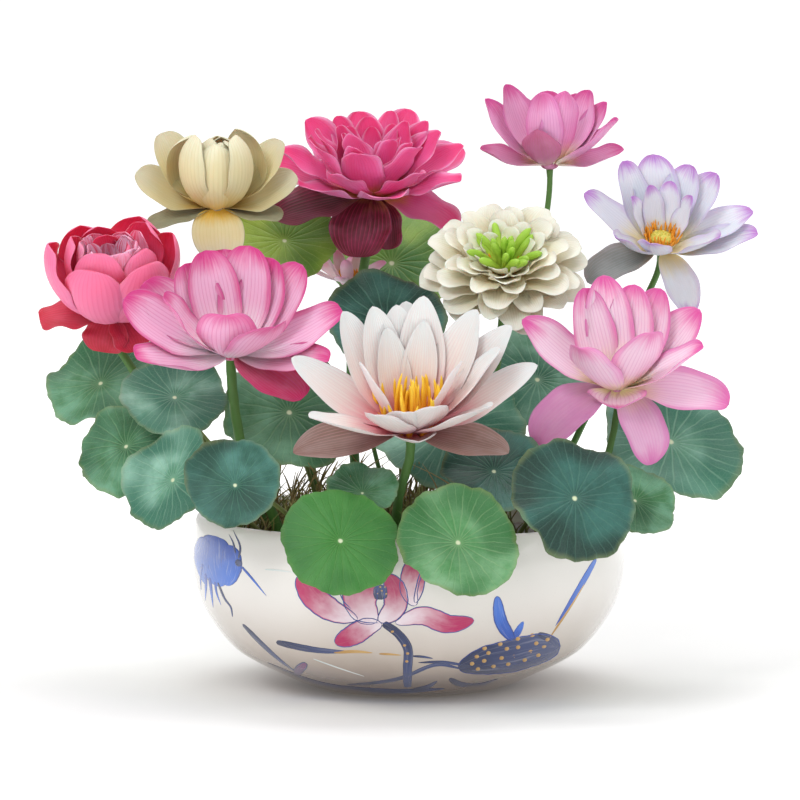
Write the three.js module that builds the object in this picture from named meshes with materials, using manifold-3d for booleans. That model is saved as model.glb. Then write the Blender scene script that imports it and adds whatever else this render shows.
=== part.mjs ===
/**
 * Lotus bowl: a wide glazed bowl filled with mud, holding ten lotus flowers
 * and nineteen round lotus leaves on their own stalks.
 *
 * Millimetres, +Z up, front towards -Y. The origin is the centre of the
 * bowl's flat base. Every flower is two pieces: its stem with the seed
 * receptacle on top, and its corolla, which is all its petals grown onto one
 * collar around the neck of that receptacle. Every leaf is a thin round
 * blade on a stalk that meets the middle of its underside.
 */
import * as THREE from 'three';
import { ParametricGeometry } from 'three/addons/geometries/ParametricGeometry.js';
import { mergeGeometries, mergeVertices } from 'three/addons/utils/BufferGeometryUtils.js';
import Module from 'manifold-3d';

const wasm = await Module();
wasm.setup();

// ---------------------------------------------------------------- sizes
const GAP = 0.4; // clearance between pieces that touch
const BOWL_SEGMENTS = 32;

// Bowl section as [radius, height], base to rim outside, rim to floor inside.
const BOWL_OUTER = [
  [0, 0], [62, 0], [74.5, 3], [91, 10.7], [108, 19], [121, 27.5], [135, 44],
  [144, 60.5], [149.2, 80], [150, 98], [146.6, 117.2],
];
const BOWL_LIP = [143.4, 119];
const BOWL_INNER = [
  [140.8, 116.6], [143, 98], [141, 76], [130, 51], [108, 29], [82, 14.5], [60, 7.5], [0, 7.5],
];

const MUD_EDGE = [142.4, 98]; // where the mud meets the wall
const MUD_TOP = 103; // height of the mud in the middle
const ROOT_DEPTH = 9; // how far a stem stands in the mud
const ROOT_CLEARANCE = 1.2;

const PETAL_THICKNESS = 1.4;
const PETAL_ROWS = 4;
const COLLAR_SIDES = 8;
const COLLAR_HEIGHT = 4;
const COLLAR_WIDTH = 4.2;

const LEAF_THICKNESS = 1.2;
const LEAF_SEGMENTS = 18;
const LEAF_ROWS = 3; // rings from the middle to the rim
const STALK_RADIUS = 1.7;
const STALK_SIDES = 6;

// ------------------------------------------------------------- materials
const finish = (color, roughness, metalness = 0) =>
  new THREE.MeshStandardMaterial({ color, roughness, metalness });

const GLAZE = finish(0xdfe3e5, 0.2);
const MUD = finish(0x3a2f26, 0.95);
const STEM_GREEN = finish(0x3f6b33, 0.55);
const STALK_BROWN = finish(0x6b6a45, 0.6);
const LEAF_GREEN = finish(0x56895a, 0.5);
const LEAF_BLUE = finish(0x407462, 0.5);
const LEAF_LIGHT = finish(0x85b28f, 0.55);

// --------------------------------------------------------------- helpers
/** Closed solid from a three.js geometry: shared corners merged, faces out. */
function solid(geometry) {
  const bare = geometry.clone();
  for (const name of ['normal', 'uv']) bare.deleteAttribute(name);
  const merged = mergeVertices(bare, 1e-4);
  const place = merged.getAttribute('position').array;
  const corners = merged.getIndex().array;
  const kept = [];
  let volume = 0;
  for (let i = 0; i < corners.length; i += 3) {
    const [a, b, c] = [corners[i], corners[i + 1], corners[i + 2]];
    if (a === b || b === c || c === a) continue;
    kept.push(a, b, c);
    const p = new THREE.Vector3().fromArray(place, 3 * a);
    const q = new THREE.Vector3().fromArray(place, 3 * b);
    const r = new THREE.Vector3().fromArray(place, 3 * c);
    volume += p.dot(q.cross(r));
  }
  if (volume < 0) {
    for (let i = 0; i < kept.length; i += 3) [kept[i], kept[i + 1]] = [kept[i + 1], kept[i]];
  }
  return new wasm.Manifold(
    new wasm.Mesh({
      numProp: 3,
      vertProperties: new Float32Array(place),
      triVerts: new Uint32Array(kept),
    }),
  );
}

/** three.js geometry of a solid, with flat shading normals. */
function geometryOf(body) {
  const { vertProperties, triVerts } = body.getMesh();
  const geometry = new THREE.BufferGeometry();
  geometry.setAttribute('position', new THREE.BufferAttribute(vertProperties, 3));
  geometry.setIndex(new THREE.BufferAttribute(triVerts, 1));
  geometry.computeVertexNormals();
  return geometry;
}

/** Solid of revolution about +Z from a list of [radius, height] points. */
function turned(points, segments) {
  const profile = points.map(([r, z]) => new THREE.Vector2(r, z));
  return new THREE.LatheGeometry(profile, segments).rotateX(Math.PI / 2);
}

/** Regular outline for a tube section. */
function section(radius, sides) {
  const outline = new THREE.Shape();
  for (let i = 0; i < sides; i += 1) {
    const a = (2 * Math.PI * i) / sides;
    const [x, y] = [radius * Math.cos(a), radius * Math.sin(a)];
    if (i === 0) outline.moveTo(x, y);
    else outline.lineTo(x, y);
  }
  outline.closePath();
  return outline;
}

/** Tube along a smooth curve through the given points. */
function tube(points, radius, sides, stepLength) {
  const path = new THREE.CatmullRomCurve3(points, false, 'centripetal');
  const steps = Math.max(5, Math.round(path.getLength() / stepLength));
  return new THREE.ExtrudeGeometry(section(radius, sides), {
    steps,
    extrudePath: path,
    bevelEnabled: false,
  });
}

const degrees = (angle) => (angle * Math.PI) / 180;

/** Unit vector leaning from +Z by tilt degrees towards a compass azimuth. */
function leaning(azimuth, tilt) {
  const [a, t] = [degrees(azimuth), degrees(tilt)];
  return new THREE.Vector3(Math.sin(t) * Math.cos(a), Math.sin(t) * Math.sin(a), Math.cos(t));
}

/** Mesh with its name. */
function piece(name, geometry, material) {
  const mesh = new THREE.Mesh(geometry, material);
  mesh.name = name;
  return mesh;
}

/** Height of the mud's surface at a point. */
function mudHeight(x, y) {
  const r = Math.hypot(x, y) / MUD_EDGE[0];
  return MUD_TOP + (MUD_EDGE[1] - MUD_TOP) * r * r;
}

// ---------------------------------------------------------------- petals
/**
 * One petal: [azimuth, length, width, rise at base, rise at tip, cup].
 * Angles are in degrees; rise is measured up from the flower's own plane,
 * and cup is the half angle, in radians, that the petal's section bends by.
 * A petal that points sideways is twisted by face degrees, so that its inner
 * side turns a little to the front.
 */
function petal([azimuth, length, width, rise0, rise1, cup], radius, height, outline, face) {
  const [broad, sharp] = outline;
  const way = degrees(azimuth);
  const twist = degrees(face) * Math.cos(way)
    * THREE.MathUtils.clamp(1 + 1.2 * Math.sin(way), 0, 1);
  const peak = (broad / (broad + sharp)) ** broad * (sharp / (broad + sharp)) ** sharp;
  const samples = 40;
  const spine = [[radius, height]];
  for (let i = 0; i < samples; i += 1) {
    const t = degrees(rise0 + ((rise1 - rise0) * (i + 0.5)) / samples);
    const [r, z] = spine[i];
    spine.push([r + (Math.cos(t) * length) / samples, z + (Math.sin(t) * length) / samples]);
  }
  const surface = (u, v, target) => {
    const s = 1 - (1 - v) ** 1.25;
    const at = Math.min(samples - 1, Math.floor(s * samples));
    const part = s * samples - at;
    const r = spine[at][0] + (spine[at + 1][0] - spine[at][0]) * part;
    const z = spine[at][1] + (spine[at + 1][1] - spine[at][1]) * part;
    const rise = degrees(rise0 + (rise1 - rise0) * s);
    const half = (width / 2) * ((s ** broad * (1 - s) ** sharp) / peak);
    const across = Math.cos(2 * Math.PI * u);
    const fat = Math.sin(2 * Math.PI * u) * Math.min(half, PETAL_THICKNESS) * 0.5;
    const flat = (half / cup) * Math.sin(cup * across);
    const bent = (half / cup) * (1 - Math.cos(cup * across)) + fat;
    const turn = twist * Math.min(1, 2.5 * s);
    const lateral = flat * Math.cos(turn) - bent * Math.sin(turn);
    const lift = flat * Math.sin(turn) + bent * Math.cos(turn);
    target.set(r - Math.sin(rise) * lift, lateral, z + Math.cos(rise) * lift);
  };
  const blade = new ParametricGeometry(surface, 4, PETAL_ROWS);
  return solid(blade.rotateZ(way));
}

/** A whorl of equal petals, each varied a little from its neighbours. */
function whorl(count, start, length, width, rise0, rise1, cup) {
  return Array.from({ length: count }, (_, i) => {
    const sway = Math.sin(2.4 * i + 0.05 * start);
    return [
      start + (360 * i) / count + 3 * sway,
      length * (1 + 0.04 * sway),
      width,
      rise0 + 3 * sway,
      rise1 - 4 * sway,
      cup,
    ];
  });
}

// --------------------------------------------------------------- flowers
/**
 * base: where the petals meet the stem; lean: [azimuth, tilt] of the axis;
 * root: where the stem stands in the mud; via: a point it passes through;
 * stem: its radius; pod: [lower radius, upper radius, height];
 * outline: how broad and how sharp the petals are; face: how far the side
 * petals twist, in degrees.
 */
const FLOWERS = [
  {
    name: 'cream', color: 0xe9dfae, base: [-133, 35, 326], lean: [-90, 8],
    root: [-58, 36], via: [-98, 38, 215], stem: 2.6, pod: [4, 6, 9], outline: [0.5, 0.42],
    face: 30,
    petals: [
      ...whorl(6, 30, 66, 46, 14, 142, 0.95), [176, 58, 38, 6, 48, 0.5], [4, 56, 38, 4, 46, 0.5],
      [155, 64, 36, 34, 72, 0.6], [18, 62, 34, 32, 66, 0.6], [85, 62, 38, 20, 60, 0.5],
      [-88, 38, 38, -34, -88, 0.45], [200, 46, 26, -10, -14, 0.3], [-16, 42, 26, -5, -6, 0.3],
    ],
  },
  {
    name: 'magenta', color: 0xc93d80, base: [-26, 85, 334], lean: [-88, 18],
    root: [-36, 62], via: [-40, 72, 225], stem: 3.4, pod: [4, 6, 8], outline: [0.6, 0.5],
    face: 22,
    petals: [
      ...whorl(5, 20, 54, 28, 54, 88, 0.6), ...whorl(7, 0, 64, 34, 38, 62, 0.6),
      ...whorl(7, 22, 68, 36, 12, 30, 0.5), [196, 66, 48, -6, -14, 0.4],
      [-106, 46, 46, -34, -76, 0.4], [-62, 40, 26, -40, -78, 0.35], [-24, 62, 38, -5, -26, 0.5],
      [65, 60, 36, -2, -16, 0.5],
    ],
  },
  {
    name: 'pink_cup', color: 0xd97fb4, base: [100, 95, 354], lean: [-90, 3],
    root: [42, 74], via: [84, 90, 250], stem: 2.1, pod: [4, 5.5, 8], outline: [0.6, 0.55],
    face: 25,
    petals: [
      [176, 64, 33, 25, 76, 0.6], [156, 64, 33, 45, 86, 0.6], [-112, 56, 31, 55, 94, 0.7],
      [-58, 56, 36, 58, 97, 0.7], [22, 60, 33, 42, 86, 0.6], [4, 58, 30, 32, 74, 0.6],
      [-22, 58, 34, 16, 60, 0.7], [-8, 50, 30, -4, 34, 0.6], [187, 48, 30, -2, 36, 0.6],
      [-114, 38, 34, 5, 104, 0.9], [92, 60, 37, 38, 82, 0.6], [55, 60, 35, 36, 78, 0.6],
      [128, 60, 35, 36, 78, 0.6],
    ],
  },
  {
    name: 'lavender', color: 0xd3d3e4, base: [176.5, 60, 297], lean: [-86, 33],
    root: [92, 38], via: [140, 60, 210], stem: 2.3, pod: [4.5, 8, 9], outline: [0.6, 0.5],
    face: 0,
    petals: [
      [160, 62, 31, 14, 44, 0.6], [135, 64, 30, 38, 68, 0.6], [95, 64, 36, 38, 62, 0.6],
      [68, 60, 30, 36, 64, 0.6], [46, 63, 32, 28, 58, 0.6], [15, 66, 34, 8, 40, 0.6],
      [-8, 66, 36, 4, 36, 0.6], [-38, 52, 30, 20, 56, 0.7], [-143, 48, 30, 14, 60, 0.7],
      [-106, 36, 28, 16, 76, 0.8], [112, 44, 18, 54, 84, 0.6], [76, 46, 20, 50, 80, 0.6],
      [28, 42, 18, 50, 80, 0.6], [158, 43, 18, 50, 80, 0.6], [-156, 54, 36, -6, -22, 0.4],
      [-64, 50, 27, -14, -48, 0.5],
    ],
  },
  {
    name: 'red', color: 0xe8506e, base: [-203, 5, 253], lean: [-90, 24],
    root: [-96, 4], via: [-160, 4, 178], stem: 3, pod: [4, 6, 8], outline: [0.42, 0.3],
    face: 10,
    petals: [
      ...whorl(6, 10, 78, 54, 8, 106, 0.9), ...whorl(5, 40, 72, 44, 28, 112, 0.85),
      ...whorl(3, 0, 58, 28, 62, 104, 0.6), [188, 46, 34, 4, -6, 0.4],
      [-108, 24, 34, -34, -60, 0.4], [-56, 28, 30, -18, -44, 0.4], [70, 42, 34, 2, -10, 0.4],
    ],
  },
  {
    name: 'pink_left', color: 0xdb8db7, base: [-120, -62, 232], lean: [-90, 20],
    root: [-88, -42], via: [-113, -56, 170], stem: 3.5, pod: [4.5, 7.5, 10], outline: [0.55, 0.42],
    face: 30,
    petals: [
      [178, 78, 42, 14, 52, 0.6], [146, 66, 38, 44, 82, 0.6], [119, 70, 38, 56, 86, 0.6],
      [62, 72, 40, 56, 84, 0.6], [20, 74, 38, 36, 70, 0.6], [-6, 78, 38, 8, 46, 0.6],
      [-30, 74, 38, -4, 28, 0.6], [-142, 72, 46, -4, 34, 0.6], [-40, 58, 42, -14, -16, 0.45],
      [-96, 58, 46, 28, 84, 0.75], [-60, 66, 42, 22, 60, 0.6], [-160, 66, 38, 34, 70, 0.6],
      [40, 68, 38, 46, 80, 0.6], [92, 70, 40, 42, 76, 0.6], [156, 72, 40, 22, 56, 0.6],
    ],
  },
  {
    name: 'white_double', color: 0xe4e6dc, base: [66, 0, 287], lean: [-92, 42],
    root: [36, 4], via: [58, 12, 200], stem: 2.8, pod: [5, 9, 9], outline: [0.5, 0.42],
    face: 0,
    petals: [
      ...whorl(6, 10, 25, 17, 38, 66, 0.6), ...whorl(6, 30, 38, 24, 26, 44, 0.6),
      ...whorl(7, 5, 49, 28, 8, 24, 0.5), ...whorl(7, 27, 53, 32, -12, 0, 0.45),
    ],
  },
  {
    name: 'lily', color: 0xf0dfe0, base: [0.6, -118, 185.4], lean: [-90, 18],
    root: [-9, -98], via: [-7, -108, 140], stem: 3.2, pod: [4.5, 6.5, 7], outline: [0.6, 0.62],
    face: 27,
    petals: [
      [174, 88, 34, 22, 46, 0.55], [-140, 84, 34, 12, 34, 0.55], [156, 88, 33, 48, 72, 0.55],
      [132, 84, 32, 58, 80, 0.55], [108, 82, 33, 60, 82, 0.55], [66, 88, 35, 62, 84, 0.55],
      [26, 90, 35, 52, 74, 0.55], [7, 96, 36, 40, 62, 0.55], [-14, 84, 33, 40, 60, 0.55],
      [-4, 92, 34, 20, 44, 0.55], [-46, 78, 34, 20, 42, 0.55], [-116, 62, 35, 20, 48, 0.6],
      [-92, 52, 35, 26, 54, 0.6], [-70, 58, 35, 28, 54, 0.6], [88, 86, 34, 46, 66, 0.55],
      [124, 68, 25, 62, 82, 0.6], [70, 72, 26, 64, 84, 0.6], [-150, 66, 26, 50, 72, 0.6],
      [-30, 66, 26, 50, 72, 0.6], [-82, 32, 32, -5, 34, 0.7], [-168, 74, 38, -4, -8, 0.4],
      [-27, 66, 38, -2, -2, 0.4], [82, 72, 34, 2, -4, 0.4],
    ],
  },
  {
    name: 'pink_right', color: 0xdfbec7, base: [140.6, -62, 208.5], lean: [-90, 14],
    root: [98, -36], via: [130, -55, 152], stem: 2.4, pod: [4.5, 6.5, 9], outline: [0.58, 0.52],
    face: 30,
    petals: [
      [172, 76, 38, 26, 52, 0.6], [146, 70, 36, 56, 84, 0.6], [103, 76, 36, 61, 89, 0.6],
      [62, 70, 36, 58, 86, 0.6], [16, 74, 38, 32, 60, 0.6], [-22, 66, 38, 22, 48, 0.6],
      [-6, 72, 42, 2, -14, 0.45], [-158, 66, 46, -12, -50, 0.4], [-52, 56, 38, -36, -72, 0.4],
      [-126, 64, 42, 24, 66, 0.7], [-64, 68, 40, 38, 70, 0.6], [-94, 26, 44, -22, 8, 0.7],
      [38, 72, 36, 48, 78, 0.6],
    ],
  },
  {
    name: 'small', color: 0xecb2cf, base: [-43, 105, 271], lean: [-90, 12],
    root: [-14, 88], via: [-36, 100, 200], stem: 1.6, pod: [2.5, 3.5, 4], outline: [0.6, 0.5],
    face: 10,
    petals: [
      ...whorl(6, 20, 27, 13, 12, 38, 0.5), ...whorl(5, 52, 24, 10, 46, 74, 0.5),
    ],
  },
];

/** Frame of a flower: its base, with +Z along its axis. */
function flowerFrame({ base, lean }) {
  const frame = new THREE.Group();
  frame.position.fromArray(base);
  frame.quaternion.setFromUnitVectors(new THREE.Vector3(0, 0, 1), leaning(...lean));
  frame.updateMatrixWorld();
  return frame;
}

/** Stem from the mud to the base, with the receptacle standing on it. */
function stemOf({ base, lean, root, via, stem, pod }) {
  const axis = leaning(...lean);
  const foot = new THREE.Vector3().fromArray(base);
  const ground = mudHeight(...root);
  const points = [
    new THREE.Vector3(...root, ground - ROOT_DEPTH),
    new THREE.Vector3(...root, ground + 8),
    new THREE.Vector3(...via),
    foot.clone().addScaledVector(axis, -16),
    foot.clone().addScaledVector(axis, COLLAR_HEIGHT + 1.5),
  ];
  const [lower, upper, height] = pod;
  const start = COLLAR_HEIGHT + GAP;
  const head = turned(
    [[0, start], [lower, start], [upper, start + height * 0.8], [upper * 0.8, start + height],
      [0, start + height]],
    COLLAR_SIDES,
  ).applyMatrix4(flowerFrame({ base, lean }).matrixWorld);
  return solid(tube(points, stem, STALK_SIDES, 22)).add(solid(head));
}

/** All petals of a flower grown onto the collar around its neck. */
function corollaOf({ stem, petals, outline, face }) {
  const hole = (stem + 0.5) / Math.cos(Math.PI / COLLAR_SIDES);
  const rim = hole + COLLAR_WIDTH;
  const collar = turned(
    [[hole, 0], [rim - 1.2, 0], [rim, COLLAR_HEIGHT * 0.6], [rim - 0.8, COLLAR_HEIGHT],
      [hole, COLLAR_HEIGHT], [hole, 0]],
    COLLAR_SIDES,
  );
  let body = solid(collar);
  for (const row of petals) {
    body = body.add(petal(row, rim - 2.4, COLLAR_HEIGHT * 0.5, outline, face));
  }
  return body;
}

// ---------------------------------------------------------------- leaves
/**
 * centre: middle of the blade; lean: [azimuth, tilt] of its face; dish: how
 * far the rim stands above the middle, as a part of the radius; ruffle:
 * height of the waves round the rim, waves: how many; root: foot of the
 * stalk in the mud; over: a point the stalk passes through.
 */
const LEAVES = [
  { name: 'front_left', tone: LEAF_GREEN, centre: [-45, -168, 120], radius: 39, lean: [-92, 57],
    dish: -0.06, ruffle: 1.8, waves: 3, root: [-34, -106], over: [-41, -146, 132] },
  { name: 'front_middle', tone: LEAF_GREEN, centre: [32, -168, 119], radius: 41, lean: [-86, 52],
    dish: 0.06, ruffle: 4.6, waves: 4, root: [26, -106], over: [31, -147, 131] },
  { name: 'front_right', tone: LEAF_BLUE, centre: [109, -150, 146], radius: 43, lean: [-80, 58],
    dish: -0.04, ruffle: 4.2, waves: 4, root: [72, -84], over: [94, -118, 142] },
  { name: 'left_cupped', tone: LEAF_BLUE, centre: [-115, -138, 153], radius: 32, lean: [-104, 66],
    dish: 0.2, ruffle: 2.6, waves: 3, root: [-66, -84], over: [-96, -112, 142] },
  { name: 'left_blue', tone: LEAF_LIGHT, centre: [-159, -95, 152], radius: 38, lean: [-132, 66],
    dish: 0.1, ruffle: 4, waves: 3, root: [-98, -60], over: [-134, -78, 140] },
  { name: 'left_low', tone: LEAF_GREEN, centre: [-193, -45, 170], radius: 38, lean: [-122, 50],
    dish: -0.05, ruffle: 4.5, waves: 4, root: [-112, -32], over: [-158, -42, 146] },
  { name: 'left_high', tone: LEAF_GREEN, centre: [-216, 42, 206], radius: 40, lean: [-116, 46],
    dish: 0.05, ruffle: 5, waves: 4, root: [-112, 30], over: [-166, 38, 160] },
  { name: 'left_middle', tone: LEAF_LIGHT, centre: [-159, -50, 204], radius: 36, lean: [-92, 44],
    dish: 0.05, ruffle: 4, waves: 3, root: [-116, -8], over: [-134, -20, 160] },
  { name: 'centre_left', tone: LEAF_GREEN, centre: [-82, -17, 191], radius: 47, lean: [-88, 50],
    dish: 0.03, ruffle: 5, waves: 4, root: [-60, 6], over: [-70, -2, 150] },
  { name: 'left_back', tone: LEAF_LIGHT, centre: [-184, 82, 232], radius: 36, lean: [-100, 34],
    dish: 0.05, ruffle: 3.4, waves: 4, root: [-94, 66], over: [-150, 84, 170] },
  { name: 'centre', tone: LEAF_LIGHT, centre: [28, -30, 182], radius: 54, lean: [-92, 50],
    dish: 0.05, ruffle: 5, waves: 4, root: [4, 12], over: [14, 2, 140] },
  { name: 'centre_small', tone: LEAF_GREEN, centre: [-31, -128, 147], radius: 25, lean: [-96, 36],
    dish: 0.12, ruffle: 2.6, waves: 4, root: [-42, -80], over: [-36, -104, 134] },
  { name: 'centre_dark', tone: LEAF_BLUE, centre: [57, -93, 158], radius: 36, lean: [-84, 42],
    dish: 0.08, ruffle: 4.6, waves: 4, root: [50, -54], over: [56, -72, 136] },
  { name: 'right_large', tone: LEAF_LIGHT, centre: [180, -27, 172], radius: 52, lean: [-70, 46],
    dish: 0.05, ruffle: 5.4, waves: 4, root: [110, 2], over: [146, -10, 150] },
  { name: 'right_low', tone: LEAF_GREEN, centre: [152, -92, 138], radius: 30, lean: [-60, 44],
    dish: 0.08, ruffle: 3, waves: 4, root: [98, -66], over: [124, -78, 130] },
  { name: 'back_right', tone: LEAF_LIGHT, centre: [90, 38, 209], radius: 44, lean: [-88, 46],
    dish: 0.08, ruffle: 4.4, waves: 4, root: [66, 44], over: [74, 50, 160] },
  { name: 'back_yellow', tone: LEAF_LIGHT, centre: [-88, 95, 303], radius: 38, lean: [-90, 50],
    dish: 0.08, ruffle: 3.6, waves: 3, root: [-62, 78], over: [-82, 108, 220] },
  { name: 'back_tall', tone: LEAF_LIGHT, centre: [-12, 139, 285], radius: 50, lean: [-90, 48],
    dish: 0.04, ruffle: 4.6, waves: 4, root: [12, 100], over: [2, 132, 210] },
  { name: 'back_teal', tone: LEAF_BLUE, centre: [-16, 50, 247], radius: 44, lean: [-90, 46],
    dish: 0.05, ruffle: 4.6, waves: 4, root: [-4, 56], over: [-8, 62, 180] },
];

/**
 * Leaf blade: a round dish with a wavy rim, standing on its own +Z.
 *
 * Both faces come from one sheet of rings, moved up and down by half the
 * blade's thickness, which thins out until they meet at the rim.
 */
function bladeOf({ radius, dish, ruffle, waves }) {
  const sheet = (side) => new ParametricGeometry((u, v, target) => {
    const rho = Math.sin((v * Math.PI) / 2); // 0 in the middle, 1 at the rim
    const angle = 2 * Math.PI * u;
    const uneven = 0.05 * Math.sin(2 * angle + waves) + 0.03 * Math.sin(3 * angle + radius);
    const reach = rho * radius * (1 + uneven);
    const fold = Math.sin(waves * angle + radius) + 0.45 * Math.sin((waves + 2) * angle + waves);
    const wave = 0.75 * ruffle * rho ** 3 * fold;
    const fat = v === 1 ? 0 : (LEAF_THICKNESS / 2) * side * (1 - 0.6 * rho ** 4);
    target.set(
      reach * Math.cos(angle),
      reach * Math.sin(angle),
      dish * radius * rho * rho + wave + fat,
    );
  }, LEAF_SEGMENTS, LEAF_ROWS);
  const lower = sheet(-1);
  lower.setIndex(Array.from(lower.getIndex().array).reverse());
  return solid(mergeGeometries([sheet(1), lower]));
}

/** Stalk from the mud to just under the middle of the blade. */
function stalkOf({ centre, lean, root, over }) {
  const normal = leaning(...lean);
  const middle = new THREE.Vector3().fromArray(centre);
  const ground = mudHeight(...root);
  const points = [
    new THREE.Vector3(...root, ground - ROOT_DEPTH),
    new THREE.Vector3(...root, ground + 8),
    new THREE.Vector3(...over),
    middle.clone().addScaledVector(normal, -(LEAF_THICKNESS / 2 + GAP + STALK_RADIUS)),
  ];
  return solid(tube(points, STALK_RADIUS, STALK_SIDES, 20));
}

// ------------------------------------------------------------- assembly
const group = new THREE.Group();
group.name = 'lotus_bowl';

const shell = solid(turned([...BOWL_OUTER, BOWL_LIP, ...BOWL_INNER], BOWL_SEGMENTS));
group.add(piece('bowl', geometryOf(shell), GLAZE));

// The mud fills the bowl below MUD_EDGE, with a socket for every stem.
const mudWall = BOWL_INNER.filter(([, z]) => z < MUD_EDGE[1]).map(([r, z]) => [
  Math.max(0, r - GAP - 0.2),
  z + GAP,
]);
let mud = solid(
  turned([[0, MUD_TOP], [70, MUD_TOP - 1.2], MUD_EDGE.map((n, i) => n - (i ? 0 : 0.6)), ...mudWall],
    BOWL_SEGMENTS),
);
for (const { root, stem = STALK_RADIUS } of [...FLOWERS, ...LEAVES]) {
  const socket = new THREE.CylinderGeometry(stem + ROOT_CLEARANCE, stem + ROOT_CLEARANCE, 40, 6)
    .rotateX(Math.PI / 2)
    .translate(root[0], root[1], mudHeight(...root) - ROOT_DEPTH - GAP + 20);
  mud = mud.subtract(solid(socket));
}
group.add(piece('mud', geometryOf(mud), MUD));

for (const flower of FLOWERS) {
  group.add(piece(`stem_${flower.name}`, geometryOf(stemOf(flower)), STEM_GREEN));
  const frame = flowerFrame(flower);
  const material = finish(flower.color, 0.6);
  frame.add(piece(`petals_${flower.name}`, geometryOf(corollaOf(flower)), material));
  group.add(frame);
}

for (const leaf of LEAVES) {
  group.add(piece(`stalk_${leaf.name}`, geometryOf(stalkOf(leaf)), STALK_BROWN));
  const blade = piece(`leaf_${leaf.name}`, geometryOf(bladeOf(leaf)), leaf.tone);
  blade.position.fromArray(leaf.centre);
  blade.quaternion.setFromUnitVectors(new THREE.Vector3(0, 0, 1), leaning(...leaf.lean));
  group.add(blade);
}

export default group;
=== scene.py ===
"""Lotus bowl: the finished look of a bowl of lotus flowers, for Blender 4.5.

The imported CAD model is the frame: every piece here stands for a CAD node, or
grows on one, and keeps that node's place and size. Lengths in the tables are
millimetres, as on the CAD drawing; meshes are made in metres.
"""

import logging
import math
from dataclasses import dataclass, field
from enum import Enum

import bpy
import numpy as np
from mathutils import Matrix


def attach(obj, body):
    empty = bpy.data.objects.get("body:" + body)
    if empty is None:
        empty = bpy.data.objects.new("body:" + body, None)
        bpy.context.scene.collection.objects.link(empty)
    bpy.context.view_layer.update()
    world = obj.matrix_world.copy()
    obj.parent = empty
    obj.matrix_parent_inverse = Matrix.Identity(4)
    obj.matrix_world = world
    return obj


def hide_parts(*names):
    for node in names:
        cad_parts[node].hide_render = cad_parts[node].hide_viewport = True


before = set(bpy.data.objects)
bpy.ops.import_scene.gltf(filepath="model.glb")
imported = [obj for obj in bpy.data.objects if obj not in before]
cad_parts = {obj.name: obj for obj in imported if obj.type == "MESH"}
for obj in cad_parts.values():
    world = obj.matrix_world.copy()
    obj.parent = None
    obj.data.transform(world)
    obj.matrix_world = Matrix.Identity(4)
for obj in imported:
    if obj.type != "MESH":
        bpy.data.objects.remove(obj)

log = logging.getLogger("lotus_bowl")
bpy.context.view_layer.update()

MM = 0.001
SEED = 20
BODY = "root"

# Bowl section, [radius, height]: base to rim outside, then rim to floor.
BOWL_OUTER = [
    (0, 0), (62, 0), (74.5, 3), (91, 10.7), (108, 19), (121, 27.5), (135, 44),
    (144, 60.5), (149.2, 80), (150, 98), (146.6, 117.2),
]  # fmt: skip
BOWL_LIP = (143.4, 119)
BOWL_INNER = [
    (140.8, 116.6), (143, 98), (141, 76), (130, 51), (108, 29), (82, 14.5),
    (60, 7.5), (0, 7.5),
]  # fmt: skip
MUD_TOP, MUD_EDGE = 103.0, (142.0, 98.0)
MUD_RADIUS = 142.4
ROOT_DEPTH = 9.0
GOLDEN = 2.39996  # golden angle, in radians
PETAL_STEPS = 240
LEAF_VEINS = 21.0
COLLAR_HEIGHT, COLLAR_WIDTH = 4.0, 4.2


# ------------------------------------------------------------ small helpers
def linear(code: str) -> tuple[float, float, float, float]:
    """Turns an sRGB hex colour into a linear RGBA value.

    Args:
        code: six hexadecimal digits.

    Returns:
        Red, green, blue and alpha, each from 0 to 1.
    """
    value = np.array([int(code[i : i + 2], 16) for i in (0, 2, 4)]) / 255.0
    line = np.where(value <= 0.04045, value / 12.92, ((value + 0.055) / 1.055) ** 2.4)
    return (*[float(c) for c in line], 1.0)


def smooth(low: float, high: float, x: np.ndarray) -> np.ndarray:
    """Smoothstep: 0 below low, 1 above high, and 3t^2 - 2t^3 between."""
    t = np.clip((np.asarray(x, float) - low) / (high - low), 0.0, 1.0)
    return t * t * (3.0 - 2.0 * t)


def unit(v: np.ndarray) -> np.ndarray:
    """Vectors of length one along the last axis."""
    return v / np.maximum(np.linalg.norm(v, axis=-1, keepdims=True), 1e-9)


def leaning(azimuth: float, tilt: float) -> np.ndarray:
    """Unit vector leaning from +Z by tilt degrees towards an azimuth."""
    a, t = math.radians(azimuth), math.radians(tilt)
    return np.array([math.sin(t) * math.cos(a), math.sin(t) * math.sin(a), math.cos(t)])


def turn_to(axis: np.ndarray) -> np.ndarray:
    """The shortest rotation that takes +Z to an axis, as a 3x3 matrix.

    It is I + K + K^2 / (1 + c), where K is the cross product matrix of
    z x axis and c is their dot product.
    """
    x, y, c = -axis[1], axis[0], axis[2]
    k = np.array([[0, 0, y], [0, 0, -x], [-y, x, 0]], float)
    return np.eye(3) + k + k @ k / (1.0 + c)


def spun(points: np.ndarray, azimuth: float) -> np.ndarray:
    """Points turned about +Z by azimuth degrees."""
    c, s = math.cos(math.radians(azimuth)), math.sin(math.radians(azimuth))
    return points @ np.array([[c, s, 0], [-s, c, 0], [0, 0, 1]])


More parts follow.
